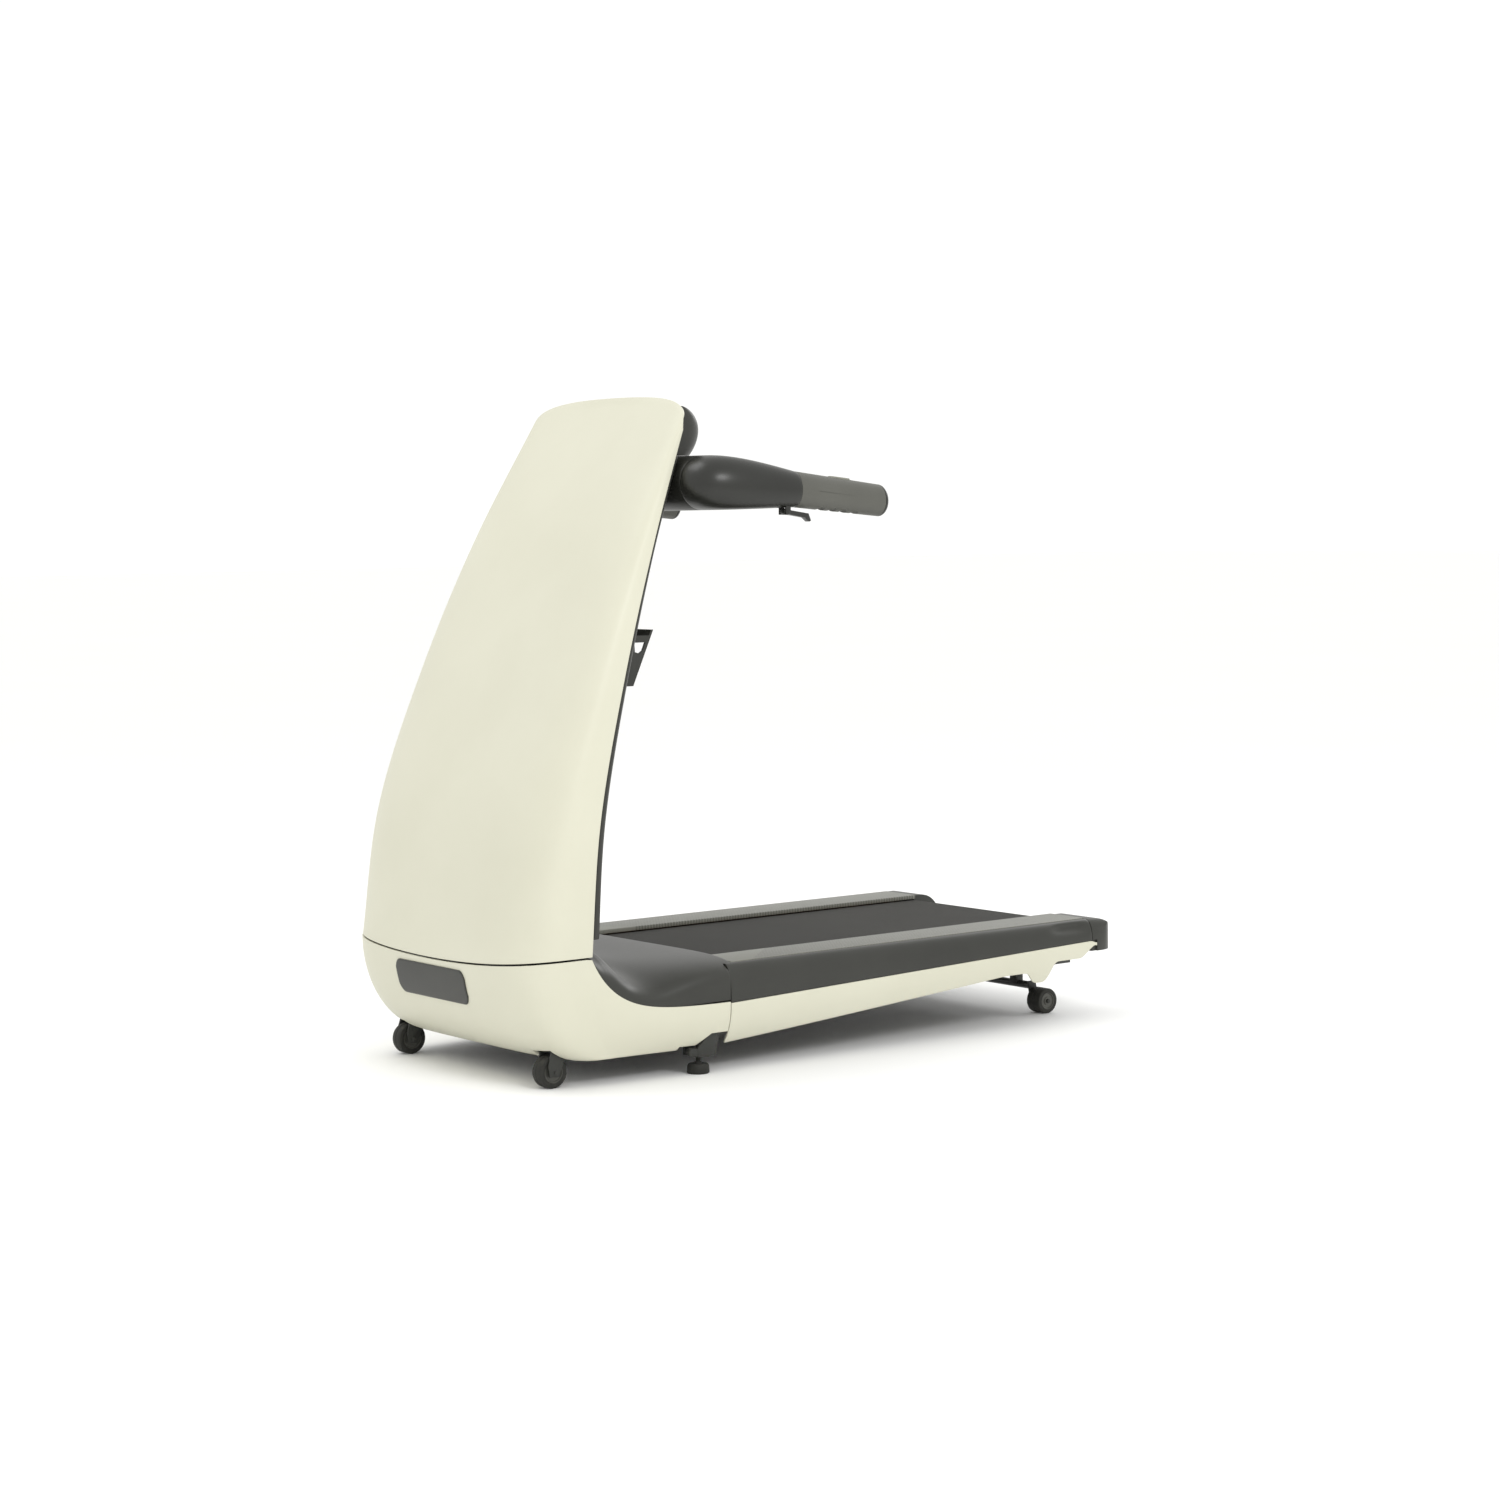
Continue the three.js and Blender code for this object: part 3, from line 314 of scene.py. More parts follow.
belt, belt_tree, _ = finish_base("belt_weave", specular=0.12)
one_way, other_way = (diagonal_waves(belt_tree, 0.0042, math.radians(turn)) for turn in (32, -32))
lozenge = maths(belt_tree, "MULTIPLY", one_way, other_way)
thread = noise(belt_tree, 1300.0, 2.0)
worn = spread(belt_tree, noise(belt_tree, 5.0, 5.0), 0.0, 1.0)
belt_colour = tone_mix(belt_tree, worn, (0.020, 0.0195, 0.0175), (0.030, 0.0292, 0.0265))
# Painted highlight: the raised lozenges are lightened as if light caught their tops.
belt_colour = tone_mix(belt_tree, maths(belt_tree, "ADD", lozenge, 0.25, clamp=True), belt_colour,
                       (0.052, 0.0505, 0.046))
belt_relief = maths(belt_tree, "ADD", lozenge, maths(belt_tree, "MULTIPLY", thread, 0.4))
complete("belt_weave", belt, belt_colour, spread(belt_tree, thread, 0.62, 0.8), belt_relief, 0.0003)
print("belt cloth nodes:", len(belt_tree.nodes))

# %% [markdown]
# ## Ribbed foot rails
# The rails are grey plastic with fine crossed ribs that stop a shoe from sliding. At the front
# end they are left smooth, and the border between the two runs at a slant. It depends on how far
# along and how far across a point is, so it is worked out from the same coordinates as the ribs.

# %% Rail finish
rail, rail_tree, _ = finish_base("grey_plastic", specular=0.4)
place_on_rail = rail_tree.nodes.new("ShaderNodeSeparateXYZ")
rail_tree.links.new(object_coords(rail_tree), place_on_rail.inputs[0])
across = maths(rail_tree, "ABSOLUTE", place_on_rail.outputs["X"])
border = maths(rail_tree, "MULTIPLY", maths(rail_tree, "SUBTRACT", 0.324, across), 1.1)
past = maths(rail_tree, "SUBTRACT", place_on_rail.outputs["Y"],
             maths(rail_tree, "ADD", border, -0.215))
ribbed = maths(rail_tree, "MULTIPLY", past, 400.0, clamp=True)
ribs = []
for way, pitch in (("Y", 0.0075), ("X", 0.011)):
    phase = maths(rail_tree, "MULTIPLY", place_on_rail.outputs[way], 2 * math.pi / pitch)
    ribs.append(maths(rail_tree, "MULTIPLY", maths(rail_tree, "SINE", phase), ribbed))
tread = maths(rail_tree, "MAXIMUM", *ribs)
rail_speck = noise(rail_tree, 700.0, 3.0)
rail_colour = tone_mix(rail_tree, spread(rail_tree, rail_speck, 0.0, 1.0),
                       (0.175, 0.175, 0.148), (0.22, 0.22, 0.188))
# Painted shade: the ribbed stretch is darkened as if shade lay in its grooves.
rail_colour = tone_mix(rail_tree, maths(rail_tree, "MULTIPLY", ribbed, 0.55), rail_colour,
                       (0.065, 0.065, 0.056))
# Painted highlight: the crests of the ribs are lightened as if light caught them.
rail_colour = tone_mix(rail_tree, maths(rail_tree, "MULTIPLY", tread, 0.45, clamp=True),
                       rail_colour, (0.30, 0.30, 0.265))
rail_relief = maths(rail_tree, "ADD", tread, maths(rail_tree, "MULTIPLY", rail_speck, 0.2))
complete("grey_plastic", rail, rail_colour, spread(rail_tree, rail_speck, 0.38, 0.5),
         rail_relief, 0.0004)
print("rail nodes:", len(rail_tree.nodes))

# %% [markdown]
# ## Steel, wood and glass
# The rollers are turned steel, so their fine lines run round the axis, and squeezing the noise
# along X gives them. The deck is a varnished board with long growth lines. The display window is
# smoked and very smooth, with only a faint haze from fingers.

# %% Turned steel
turned, turned_tree, _ = finish_base("bright_steel", metallic=1.0)
turning = noise(turned_tree, 1.0, 3.0, mapped(turned_tree, (2400, 6, 6)))
steel_tone = tone_mix(turned_tree, turning, (0.42, 0.42, 0.4), (0.62, 0.62, 0.6))
complete("bright_steel", turned, steel_tone, spread(turned_tree, turning, 0.24, 0.4), turning,
         0.00002)

# %% Deck board
board, board_tree, _ = finish_base("deck_board", coat=0.3)
rings = noise(board_tree, 1.6, 6.0, mapped(board_tree, (60, 1.5, 60)))
wood_tone = tone_mix(board_tree, rings, (0.17, 0.095, 0.045), (0.34, 0.22, 0.12))
complete("deck_board", board, wood_tone, spread(board_tree, rings, 0.4, 0.55), rings, 0.0001)

# %% Display window and its figures
moulded("display_glass", (0.004, 0.005, 0.006), (0.008, 0.009, 0.011), 0.1, grain=60,
        depth=0.000005, dust=0.02, coat=0.6, coat_roughness=0.05)
glow, glow_tree, glow_shader = finish_base("display_figures")
led = spread(glow_tree, noise(glow_tree, 420.0, 2.0), 0.0, 1.0)
glow_colour = tone_mix(glow_tree, led, (0.75, 0.9, 1.0), (0.55, 0.8, 1.0))
glow_tree.links.new(glow_colour, glow_shader.inputs["Base Color"])
glow_tree.links.new(glow_colour, glow_shader.inputs["Emission Color"])
glow_shader.inputs["Emission Strength"].default_value = 1.2
FINISH["display_figures"] = glow
print("finishes:", ", ".join(FINISH))

# %% [markdown]
# ## Making a piece
# Each piece starts as a bmesh in millimetres, because the drawing is in millimetres, and is
# scaled to metres once. A thin moulding is a grid bent to the shape, given its wall by Solidify
# and its soft rim by Bevel. The modifiers are made permanent at once, so holes can be cut after.

# %% Mesh helpers
SHARP_ANGLE = math.radians(35)


def piece_from(bm, name):
    bmesh.ops.scale(bm, vec=(MM, MM, MM), verts=bm.verts)
    mesh = bpy.data.meshes.new(name)
    bm.to_mesh(mesh)
    bm.free()
    mesh.shade_smooth()
    mesh.set_sharp_from_angle(angle=SHARP_ANGLE)
    piece = bpy.data.objects.new(name, mesh)
    bpy.context.scene.collection.objects.link(piece)
    return piece


def make_permanent(piece):
    evaluated = piece.evaluated_get(bpy.context.evaluated_depsgraph_get())
    mesh = bpy.data.meshes.new_from_object(evaluated)
    piece.modifiers.clear()
    old = piece.data
    piece.data = mesh
    bpy.data.meshes.remove(old)
    mesh.name = piece.name
    mesh.shade_smooth()
    mesh.set_sharp_from_angle(angle=SHARP_ANGLE)


def round_edges(piece, radius, segments=2, limit=38):
    soften = piece.modifiers.new("soften", "BEVEL")
    soften.width = radius * MM
    soften.segments = segments
    soften.limit_method = "ANGLE"
    soften.angle_limit = math.radians(limit)
    soften.use_clamp_overlap = True
    make_permanent(piece)
    return piece


def cut_with(piece, *cutters, operation="DIFFERENCE"):
    for cutter in cutters:
        knife = piece.modifiers.new("knife", "BOOLEAN")
        knife.operation = operation
        knife.object = cutter
        knife.solver = "EXACT"
    make_permanent(piece)
    for cutter in cutters:
        bpy.data.objects.remove(cutter)


def block(name, low, high):
    bm = bmesh.new()
    bmesh.ops.create_cube(bm, size=1)
    bmesh.ops.scale(bm, vec=Vector(high) - Vector(low), verts=bm.verts)
    bmesh.ops.translate(bm, vec=(Vector(high) + Vector(low)) / 2, verts=bm.verts)
    return piece_from(bm, name)


def rod(name, radius, x0, x1, y, z, sides=48):
    bm = bmesh.new()
    bmesh.ops.create_cone(bm, cap_ends=True, segments=sides, radius1=radius, radius2=radius,
                          depth=x1 - x0)
    bmesh.ops.rotate(bm, matrix=Matrix.Rotation(math.pi / 2, 3, "Y"), verts=bm.verts)
    bmesh.ops.translate(bm, vec=((x0 + x1) / 2, y, z), verts=bm.verts)
    return piece_from(bm, name)


# %% Bent grids and their walls
def bent_grid(name, across, along, shape_of, wall, rim=0.9, middle=(0, 0, 0)):
    bm = bmesh.new()
    bmesh.ops.create_grid(bm, x_segments=across, y_segments=along, size=1)
    for vert in bm.verts:
        vert.co = shape_of(vert.co.x, (vert.co.y + 1) / 2)
    bmesh.ops.remove_doubles(bm, verts=bm.verts, dist=0.01)
    bm.normal_update()
    outward = sum(f.normal.dot(f.calc_center_median() - Vector(middle)) * f.calc_area()
                  for f in bm.faces)
    if outward < 0:
        bmesh.ops.reverse_faces(bm, faces=bm.faces)
    piece = piece_from(bm, name)
    thicken = piece.modifiers.new("wall", "SOLIDIFY")
    thicken.thickness = wall * MM
    thicken.offset = -1
    make_permanent(piece)
    return round_edges(piece, rim) if rim else piece


def mirrored(piece, name):
    bm = bmesh.new()
    bm.from_mesh(piece.data)
    bmesh.ops.scale(bm, vec=(-1, 1, 1), verts=bm.verts)
    bmesh.ops.reverse_faces(bm, faces=bm.faces)
    bmesh.ops.scale(bm, vec=(1 / MM, 1 / MM, 1 / MM), verts=bm.verts)
    return piece_from(bm, name)


def mirrored_outline(right_half):
    """An outline from its right-hand half: the left half first, then the right half backwards."""
    return [(-along, radius) for along, radius in right_half] + right_half[::-1]


def spun(name, outline, x, y, z, steps=72):
    """Spins an outline, given as (along X, radius), about an axis along X."""
    bm = bmesh.new()
    points = [bm.verts.new((along, 0, radius)) for along, radius in outline]
    edges = [bm.edges.new(pair) for pair in zip(points, points[1:])]
    bmesh.ops.spin(bm, geom=points + edges, axis=(1, 0, 0), cent=(0, 0, 0),
                   angle=2 * math.pi, steps=steps, use_merge=True)
    bmesh.ops.remove_doubles(bm, verts=bm.verts, dist=0.005)
    bmesh.ops.recalc_face_normals(bm, faces=bm.faces)
    bmesh.ops.translate(bm, vec=(x, y, z), verts=bm.verts)
    return piece_from(bm, name)


def verts_of(geometry):
    return [item for item in geometry if isinstance(item, bmesh.types.BMVert)]


def extruded(name, corners, way):
    """A flat outline pulled along a vector into a closed bar."""
    bm = bmesh.new()
    face = bm.faces.new([bm.verts.new(corner) for corner in corners])
    grown = bmesh.ops.extrude_face_region(bm, geom=[face])["geom"]
    bmesh.ops.translate(bm, vec=way, verts=verts_of(grown))
    bmesh.ops.recalc_face_normals(bm, faces=bm.faces)
    return piece_from(bm, name)


def side_profile(name, outline, x0, x1):
    return extruded(name, [(x0, y, z) for y, z in outline], (x1 - x0, 0, 0))


def length_bar(name, outline, y0, y1):
    return extruded(name, [(x, y0, z) for x, z in outline], (0, y1 - y0, 0))


def stand_for(piece, node, finish=None):
    """Makes the piece ride with the CAD node it replaces and take that node's finish."""
    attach(piece, BODY_OF[node])
    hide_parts(node)
    piece.data.materials.clear()
    piece.data.materials.append(FINISH[finish or SLOT_OF[node]])
    print(f"{piece.name}: {len(piece.data.polygons)} faces")


def stand_for_both(right_piece, node, finish=None):
    """The right-hand piece and its mirror image, for the two nodes node_right and node_left."""
    left_piece = mirrored(right_piece, right_piece.name.replace("right", "left"))
    stand_for(right_piece, f"{node}_right", finish)
    stand_for(left_piece, f"{node}_left", finish)


def ride_along(piece, body, finish):
    """An extra piece that stands for no CAD node."""
    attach(piece, body)
    piece.data.materials.append(FINISH[finish])


def softened(node, radius, finish=None):
    """A merged copy of a CAD node with its edges rounded, as a casting or a weldment has."""
    bm = bmesh.new()
    bm.from_mesh(frame["nodes"][node].data)
    bmesh.ops.remove_doubles(bm, verts=bm.verts, dist=0.00002)
    bmesh.ops.dissolve_limit(bm, angle_limit=math.radians(2), verts=bm.verts, edges=bm.edges)
    bmesh.ops.scale(bm, vec=(1 / MM, 1 / MM, 1 / MM), verts=bm.verts)
    piece = piece_from(bm, f"{node}_finished")
    round_edges(piece, radius)
    stand_for(piece, node, finish)


print("helpers ready")

# %% [markdown]
# ## The course of the mast
# Five heights fix the mast: its half width, where its side edge runs, and how far its front
# stands ahead of that edge. A smooth curve goes through the five. A round-cornered plan is
# wrapped along it. Its fullness says how square it is: 2 is an ellipse, and the panel and the
# nose have 4.5. Both come from the same drawing as the CAD panel.

# %% Mast course
MAST = [(230, 331, -596, 154), (500, 336, -574, 121), (770, 321, -502, 85),
        (1030, 295, -408, 50), (1300, 253, -286, 11)]
MAST_TOP, MAST_SHOULDER, MAST_CROWN = 1305, 1244, 9
NOSE_FRONT, NOSE_HALF, HALF_WIDTH = -748, 332, 350
CORNER_Y, SPLIT_Y, REAR_END = -596, -285, 750
LIP_Z, LIP_RISE, NOSE_BOTTOM, NOSE_ROUND = 229, 18, 50, 190
FULL = 4.5
RAIL_OUT, COVER_IN, SHOULDER_TOP, SHOULDER_FULL = 324, 325, 208.5, 2.4
FOLD_Y, FOLD_Z = -552, 256
BAR_X, BAR_Y, BAR_Z, BAR_R = 285, -289, 1133, 52.5


def mix(a, b, share):
    return a + (b - a) * share


def smoothstep(value, low, high):
    share = min(max((value - low) / (high - low), 0), 1)
    return share * share * (3 - 2 * share)


def mast_at(z):
    """Half width, edge Y and bulge at a height, on a smooth curve through the stations."""
    z = min(max(z, MAST[0][0]), MAST[-1][0])
    i = max(k for k in range(len(MAST) - 1) if MAST[k][0] <= z)
    low, high = MAST[i], MAST[i + 1]
    span = high[0] - low[0]
    s = (z - low[0]) / span
    values = []
    for k in (1, 2, 3):
        slopes = [(b[k] - a[k]) / (b[0] - a[0]) for a, b in zip(MAST, MAST[1:])]
        start = (slopes[i] + slopes[max(i - 1, 0)]) / 2 * span
        end = (slopes[i] + slopes[min(i + 1, len(slopes) - 1)]) / 2 * span
        values.append((2 * s ** 3 - 3 * s ** 2 + 1) * low[k] + (s ** 3 - 2 * s ** 2 + s) * start
                      + (3 * s ** 2 - 2 * s ** 3) * high[k] + (s ** 3 - s ** 2) * end)
    return values


def full_sin(angle, fullness):
    sine = math.sin(angle)
    return math.copysign(abs(sine) ** (2 / fullness), sine)


def full_cos(angle, fullness):
    return max(math.cos(angle), 0) ** (2 / fullness)


def even_angle(u, fullness, width, depth, steps=240):
    """The angle at which a round-cornered plan has been followed for the share u of its length."""
    key = (fullness, round(width / depth, 2))
    if key not in even_angle.known:
        spots = [((i / steps) ** 2.2) * math.pi / 2 for i in range(steps + 1)]
        points = [(width * full_sin(a, fullness), depth * full_cos(a, fullness)) for a in spots]
        total, lengths = 0, [0]
        for first, second in zip(points, points[1:]):
            total += math.dist(first, second)
            lengths.append(total)
        even_angle.known[key] = spots, [length / total for length in lengths]
    spots, lengths = even_angle.known[key]
    goal = min(abs(u), 1)
    k = next((i for i in range(1, steps) if lengths[i] >= goal), steps)
    share = (goal - lengths[k - 1]) / max(lengths[k] - lengths[k - 1], 1e-9)
    return math.copysign(mix(spots[k - 1], spots[k], share), u)


even_angle.known = {}
print("mast half width at 0.8 m:", round(mast_at(800)[0], 1), "mm")

# %% [markdown]
# ## Mast panel
# The cream front of the mast is one large moulding, about 6 mm thick, whose sides roll back to a
# thin edge. Its lower rim follows the lip of the nose, and its upper corners are rounded. A fine
# grid is bent to that shape. The columns are spaced evenly round the plan, so the tight corners
# get as many as they need.

# %% Mast panel
def panel_shape(u, v):
    angle = even_angle(u, FULL, 330, 150)
    out, ahead_share = full_sin(angle, FULL), full_cos(angle, FULL)
    low = LIP_Z + 4 + LIP_RISE * out ** 2
    high = mix(MAST_SHOULDER, MAST_TOP, ahead_share) - MAST_CROWN * out ** 2
    z = mix(low, high, v)
    half, edge, bulge = mast_at(z)
    return Vector((half * out, edge - bulge * ahead_share, z))


mast_panel = bent_grid("mast_panel_moulding", 120, 110, panel_shape, 6, 1.6, (0, 0, 700))
stand_for(mast_panel, "mast_panel")

# %% [markdown]
# ## Mast back
# The runner's side of the mast is a dark shell, set in 8 mm from the panel's edge so that it
# shows as a thin dark line from the front. The crossbar of the handlebars is let into it, so a
# rod a little thicker than the bar is taken away.

# %% Mast back
BACK_INSET, BACK_GAP, BACK_BULGE = 8, 7, 34


def back_fullness(z):
    return mix(3.6, 2.1, min(max((z - 300) / 700, 0), 1))


def back_shape(u, v):
    z = mix(282, 1184, v)
    half, edge, _ = mast_at(z)
    fullness = back_fullness(z)
    angle = u * math.pi / 2
    return Vector(((half - BACK_INSET) * full_sin(angle, fullness),
                   edge + BACK_GAP + BACK_BULGE * full_cos(angle, fullness), z))


mast_back = bent_grid("mast_back_moulding", 90, 90, back_shape, 4, 1.2, (0, -700, 700))
cut_with(mast_back, rod("bar_seat", BAR_R + 0.9, -400, 400, BAR_Y, BAR_Z, 96))
stand_for(mast_back, "mast_back")

# %% [markdown]
# ## Nose cover
# The cream nose wraps round the front like a bowl, tucked in below so that a foot can come close.
# Its sides run back under the dark hood along a falling curve, as far as the joint with the deck
# skirts. After the grid is bent, holes are cut for the two front wheels, the levelling feet, the
# mains inlet and the switch.

# %% Nose shape
CORNER_TUCK, SIDE_TUCK, NOSE_TUCK = 80, 72, 140


def tuck(z, reach):
    drop = min(max((LIP_Z + 10 - z) / NOSE_ROUND, 0), 1)
    return reach * (1 - math.sqrt(1 - drop * drop))


def side_tuck(z, top):
    drop = min(max((top - z) / (1.25 * (top - NOSE_BOTTOM)), 0), 1)
    return SIDE_TUCK * (1 - math.sqrt(1 - drop * drop))


def seam_z(y):
    if y < SPLIT_Y:
        return 136 + 111 * math.exp(-(y - CORNER_Y) / 50)
    return mix(134, 164, (y - SPLIT_Y) / 975)


def side_x(y):
    return mix(NOSE_HALF, HALF_WIDTH, smoothstep(y, CORNER_Y, SPLIT_Y))


def corner_at(z):
    """Y of the nose's corner and half the width there."""
    corner = CORNER_Y + tuck(z, CORNER_TUCK)
    return corner, side_x(corner) - side_tuck(z, seam_z(CORNER_Y))


def nose_shape(u, v):
    turn = 0.55
    side = math.copysign(1, u)
    if abs(u) > turn:
        share = ((abs(u) - turn) / (1 - turn)) ** 1.35
        top = seam_z(mix(CORNER_Y, SPLIT_Y - 1, share))
        z = mix(NOSE_BOTTOM, top, v)
        y = mix(corner_at(z)[0], SPLIT_Y - 1, share)
        return Vector((side * (side_x(y) - side_tuck(z, top)), y, z))
    angle = even_angle(u / turn, FULL, NOSE_HALF, CORNER_Y - NOSE_FRONT)
    top = LIP_Z + LIP_RISE * full_sin(angle, FULL) ** 2
    z = mix(NOSE_BOTTOM, top, v)
    corner, half = corner_at(z)
    front = NOSE_FRONT + tuck(z, NOSE_TUCK)
    return Vector((half * full_sin(angle, FULL),
                   corner - (corner - front) * full_cos(angle, FULL), z))


print("nose corner at the foot:", tuple(round(v, 1) for v in corner_at(NOSE_BOTTOM)), "mm")

# %% Nose cover
nose = bent_grid("nose_moulding", 220, 36, nose_shape, 4, 0, (0, -500, 150))
openings = [block("inlet_hole", (-360, -440, 84), (-280, -400, 112)),
            block("switch_hole", (-360, -390, 84), (-280, -366, 112))]
foot_notch = [(-396, 40), (-390, 57), (-354, 56), (-324, 78), (-280, 78), (-280, 40)]
for side in (-1, 1):
    openings.append(rod("wheel_arch", 46, side * 253 - 24, side * 253 + 24, -643, 31, 64))
    openings.append(side_profile("foot_notch", foot_notch, side * 300 - 60, side * 300 + 60))
cut_with(nose, *openings)
round_edges(nose, 1.2)
stand_for(nose, "nose_cover")


# %% Nose inlay
def inlay_shape(u, v):
    x = 124 * math.copysign(abs(u) ** 0.9, u)
    rounding = 0.5 * (max(abs(x) - 104, 0) / 20) ** 3
    z = 184 + 34 * (v * 2 - 1) * (1 - rounding)
    corner, half = corner_at(z)
    front = NOSE_FRONT + tuck(z, NOSE_TUCK)
    skin = front + (corner - front) * (1 - (1 - (abs(x) / half) ** FULL) ** (1 / FULL))
    return Vector((x, skin - 2.9, z))


inlay = bent_grid("nose_inlay_plate", 48, 12, inlay_shape, 3.2, 1.4, (0, -500, 184))
stand_for(inlay, "nose_inlay")

# %% [markdown]
# ## Motor hood
# Behind the mast the hood sweeps down from the hinge in a hollow curve and flattens out over the
# motor. Its shoulders get squarer towards the rear, where it has to meet the straight side
# covers. It is cut clear of the hinge, the covers and two slots beside the mast foot.

# %% Motor hood
def hood_top(y):
    stub = 268 - 18 * min(max((-560 - y) / 36, 0), 1)
    sweep = 206 + 62 * math.exp(-((y - FOLD_Y) / 39.4) ** 2)
    return (stub if y < -556 else sweep) + 6 * smoothstep(y, -420, -266)


def hood_shape(u, v):
    y = mix(CORNER_Y + 2, -266, v ** 1.3)
    angle = u * math.pi / 2
    edge = max(seam_z(min(y, SPLIT_Y - 1)) + 1, 139)
    wide = side_x(y) - 0.6
    high = max(hood_top(y) + 7 * math.cos(angle), edge + 1)
    fullness = mix(2.7, 7, smoothstep(y, -470, -290))
    return Vector((wide * full_sin(angle, fullness), y,
                   edge + (high - edge) * full_cos(angle, fullness)))


hood = bent_grid("motor_hood_moulding", 110, 90, hood_shape, 4, 0, (0, -450, 100))
relief = [block("hinge_gap", (-198, -600, 200), (198, -534, 300))]
for side in (-1, 1):
    corner_x = sorted((side * RAIL_OUT, side * 360))
    relief.append(block("corner", (corner_x[0], SPLIT_Y - 0.5, 100), (corner_x[1], -250, 300)))
    relief.append(block("vent_slot", (side * 300 - 3, -531, 236), (side * 300 + 3, -508, 290)))
cut_with(hood, *relief)
round_edges(hood, 1.0)
stand_for(hood, "motor_hood")

# %% [markdown]
# ## Deck sides
# Each side of the deck has three long pieces: a dark cover with a rounded shoulder, a cream skirt
# under it whose lower edge rises to the rear, and a flat rail on top. The cover has a shallow
# finger scoop near its rear end. The right-hand pieces are made first and mirrored.

# %% Side covers
def scoop(y, z):
    return 12 * math.exp(-((y - 617) / 46) ** 4) * math.exp(-((z - 194) / 10) ** 2)


def side_cover_shape(u, v):
    y = mix(SPLIT_Y + 1, 676, v)
    angle = (u + 1) * math.pi / 4
    base = seam_z(max(y, SPLIT_Y)) + 0.5
    z = base + (SHOULDER_TOP - base) * full_cos(angle, SHOULDER_FULL)
    reach = side_x(y) - COVER_IN - scoop(y, z)
    return Vector((COVER_IN + reach * full_sin(angle, SHOULDER_FULL), y, z))


cover_right = bent_grid("side_cover_moulding_right", 28, 150, side_cover_shape, 4, 0.8,
                        (300, 200, 150))
stand_for_both(cover_right, "side_cover")


# %% Skirts
def skirt_bottom(y):
    slope = 53 + 0.0822 * (min(y, 430) - SPLIT_Y)
    ear = 24 * math.exp(-((y - 532) / 30) ** 4)
    return slope - ear + 17 * smoothstep(y, 540, 580) + 26 * smoothstep(y, 640, 690)


def skirt_shape(u, v):
    y = mix(SPLIT_Y + 1, 690, (u + 1) / 2)
    top = seam_z(max(y, SPLIT_Y)) - 0.5 - 5 * smoothstep(y, 672, 690)
    z = mix(min(skirt_bottom(y), top - 6), top, v)
    return Vector((side_x(y) - side_tuck(z, top), y, z))


skirt_right = bent_grid("skirt_moulding_right", 200, 12, skirt_shape, 4, 0.9, (0, 200, 100))
stand_for_both(skirt_right, "skirt")

# %% Foot rails
rail_profile = [(222, 201), (226, 201), (226, 205), (260, 205), (260, 198), (268, 198),
                (268, 205), (320, 205), (320, 192), (RAIL_OUT, 192), (RAIL_OUT, 210), (222, 210)]
rail_right = length_bar("foot_rail_tread_right", rail_profile, -265, 676)
round_edges(rail_right, 1.6, 3)
stand_for_both(rail_right, "foot_rail")

# %% [markdown]
# ## Rear end caps
# The caps close the deck's rear corners. Seen from above each has a round corner, and seen from
# the side it falls away in a curve. A block with one rounded upright edge is crossed with a bar
# that has the side's outline, and with one that has the side cover's shoulder, so it gets all
# three curves at once and runs on from the cover.

# %% Rear caps
def arc(first, control, last, steps=16):
    ends = [Vector(p) for p in (first, control, last)]
    return [tuple(ends[0] * (1 - s) ** 2 + ends[1] * 2 * s * (1 - s) + ends[2] * s * s)
            for s in (i / steps for i in range(1, steps + 1))]


cap_side = [(677, 141), (734, 141), *arc((734, 141), (REAR_END, 143), (REAR_END, 158)),
            *arc((REAR_END, 158), (748, 186), (726, 200)),
            *arc((726, 200), (712, 209), (690, 209)), (677, 209)]
cap_plan = [(228, 677), (HALF_WIDTH, 677), (HALF_WIDTH, 695),
            *arc((HALF_WIDTH, 695), (HALF_WIDTH, REAR_END), (292, REAR_END)), (228, REAR_END)]
cap_right = extruded("rear_cap_moulding_right", [(x, y, 130) for x, y in cap_plan], (0, 0, 90))
cut_with(cap_right, side_profile("cap_side", cap_side, 220, 360), operation="INTERSECT")
shoulder = [(224, 135), (HALF_WIDTH, 135)]
for step in range(17):
    angle = math.pi / 2 * (1 - step / 16)
    shoulder.append((COVER_IN + (HALF_WIDTH - COVER_IN) * full_sin(angle, SHOULDER_FULL),
                     164 + (SHOULDER_TOP - 164) * full_cos(angle, SHOULDER_FULL)))
shoulder.append((224, SHOULDER_TOP))
cut_with(cap_right, length_bar("cap_shoulder", shoulder, 660, 760), operation="INTERSECT")
cut_with(cap_right, block("skirt_end", (345.5, 660, 120), (360, 690.5, 165)))
round_edges(cap_right, 3.5, 4, 25)
stand_for_both(cap_right, "rear_cap")

# %% [markdown]
# ## Running belt and rollers
# The belt is an endless loop over two rollers. A grid is rolled up along the loop's length and
# closed where its ends meet. The rollers, the fold shaft and the wheels are all turned, so they
# are spun from half their outline.

# %% Running belt
FRONT_ROLLER, REAR_ROLLER, ROLLER_Z = -336, 664, 173.4
loop_radius = 26.6
straight, bend = REAR_ROLLER - FRONT_ROLLER, math.pi * loop_radius


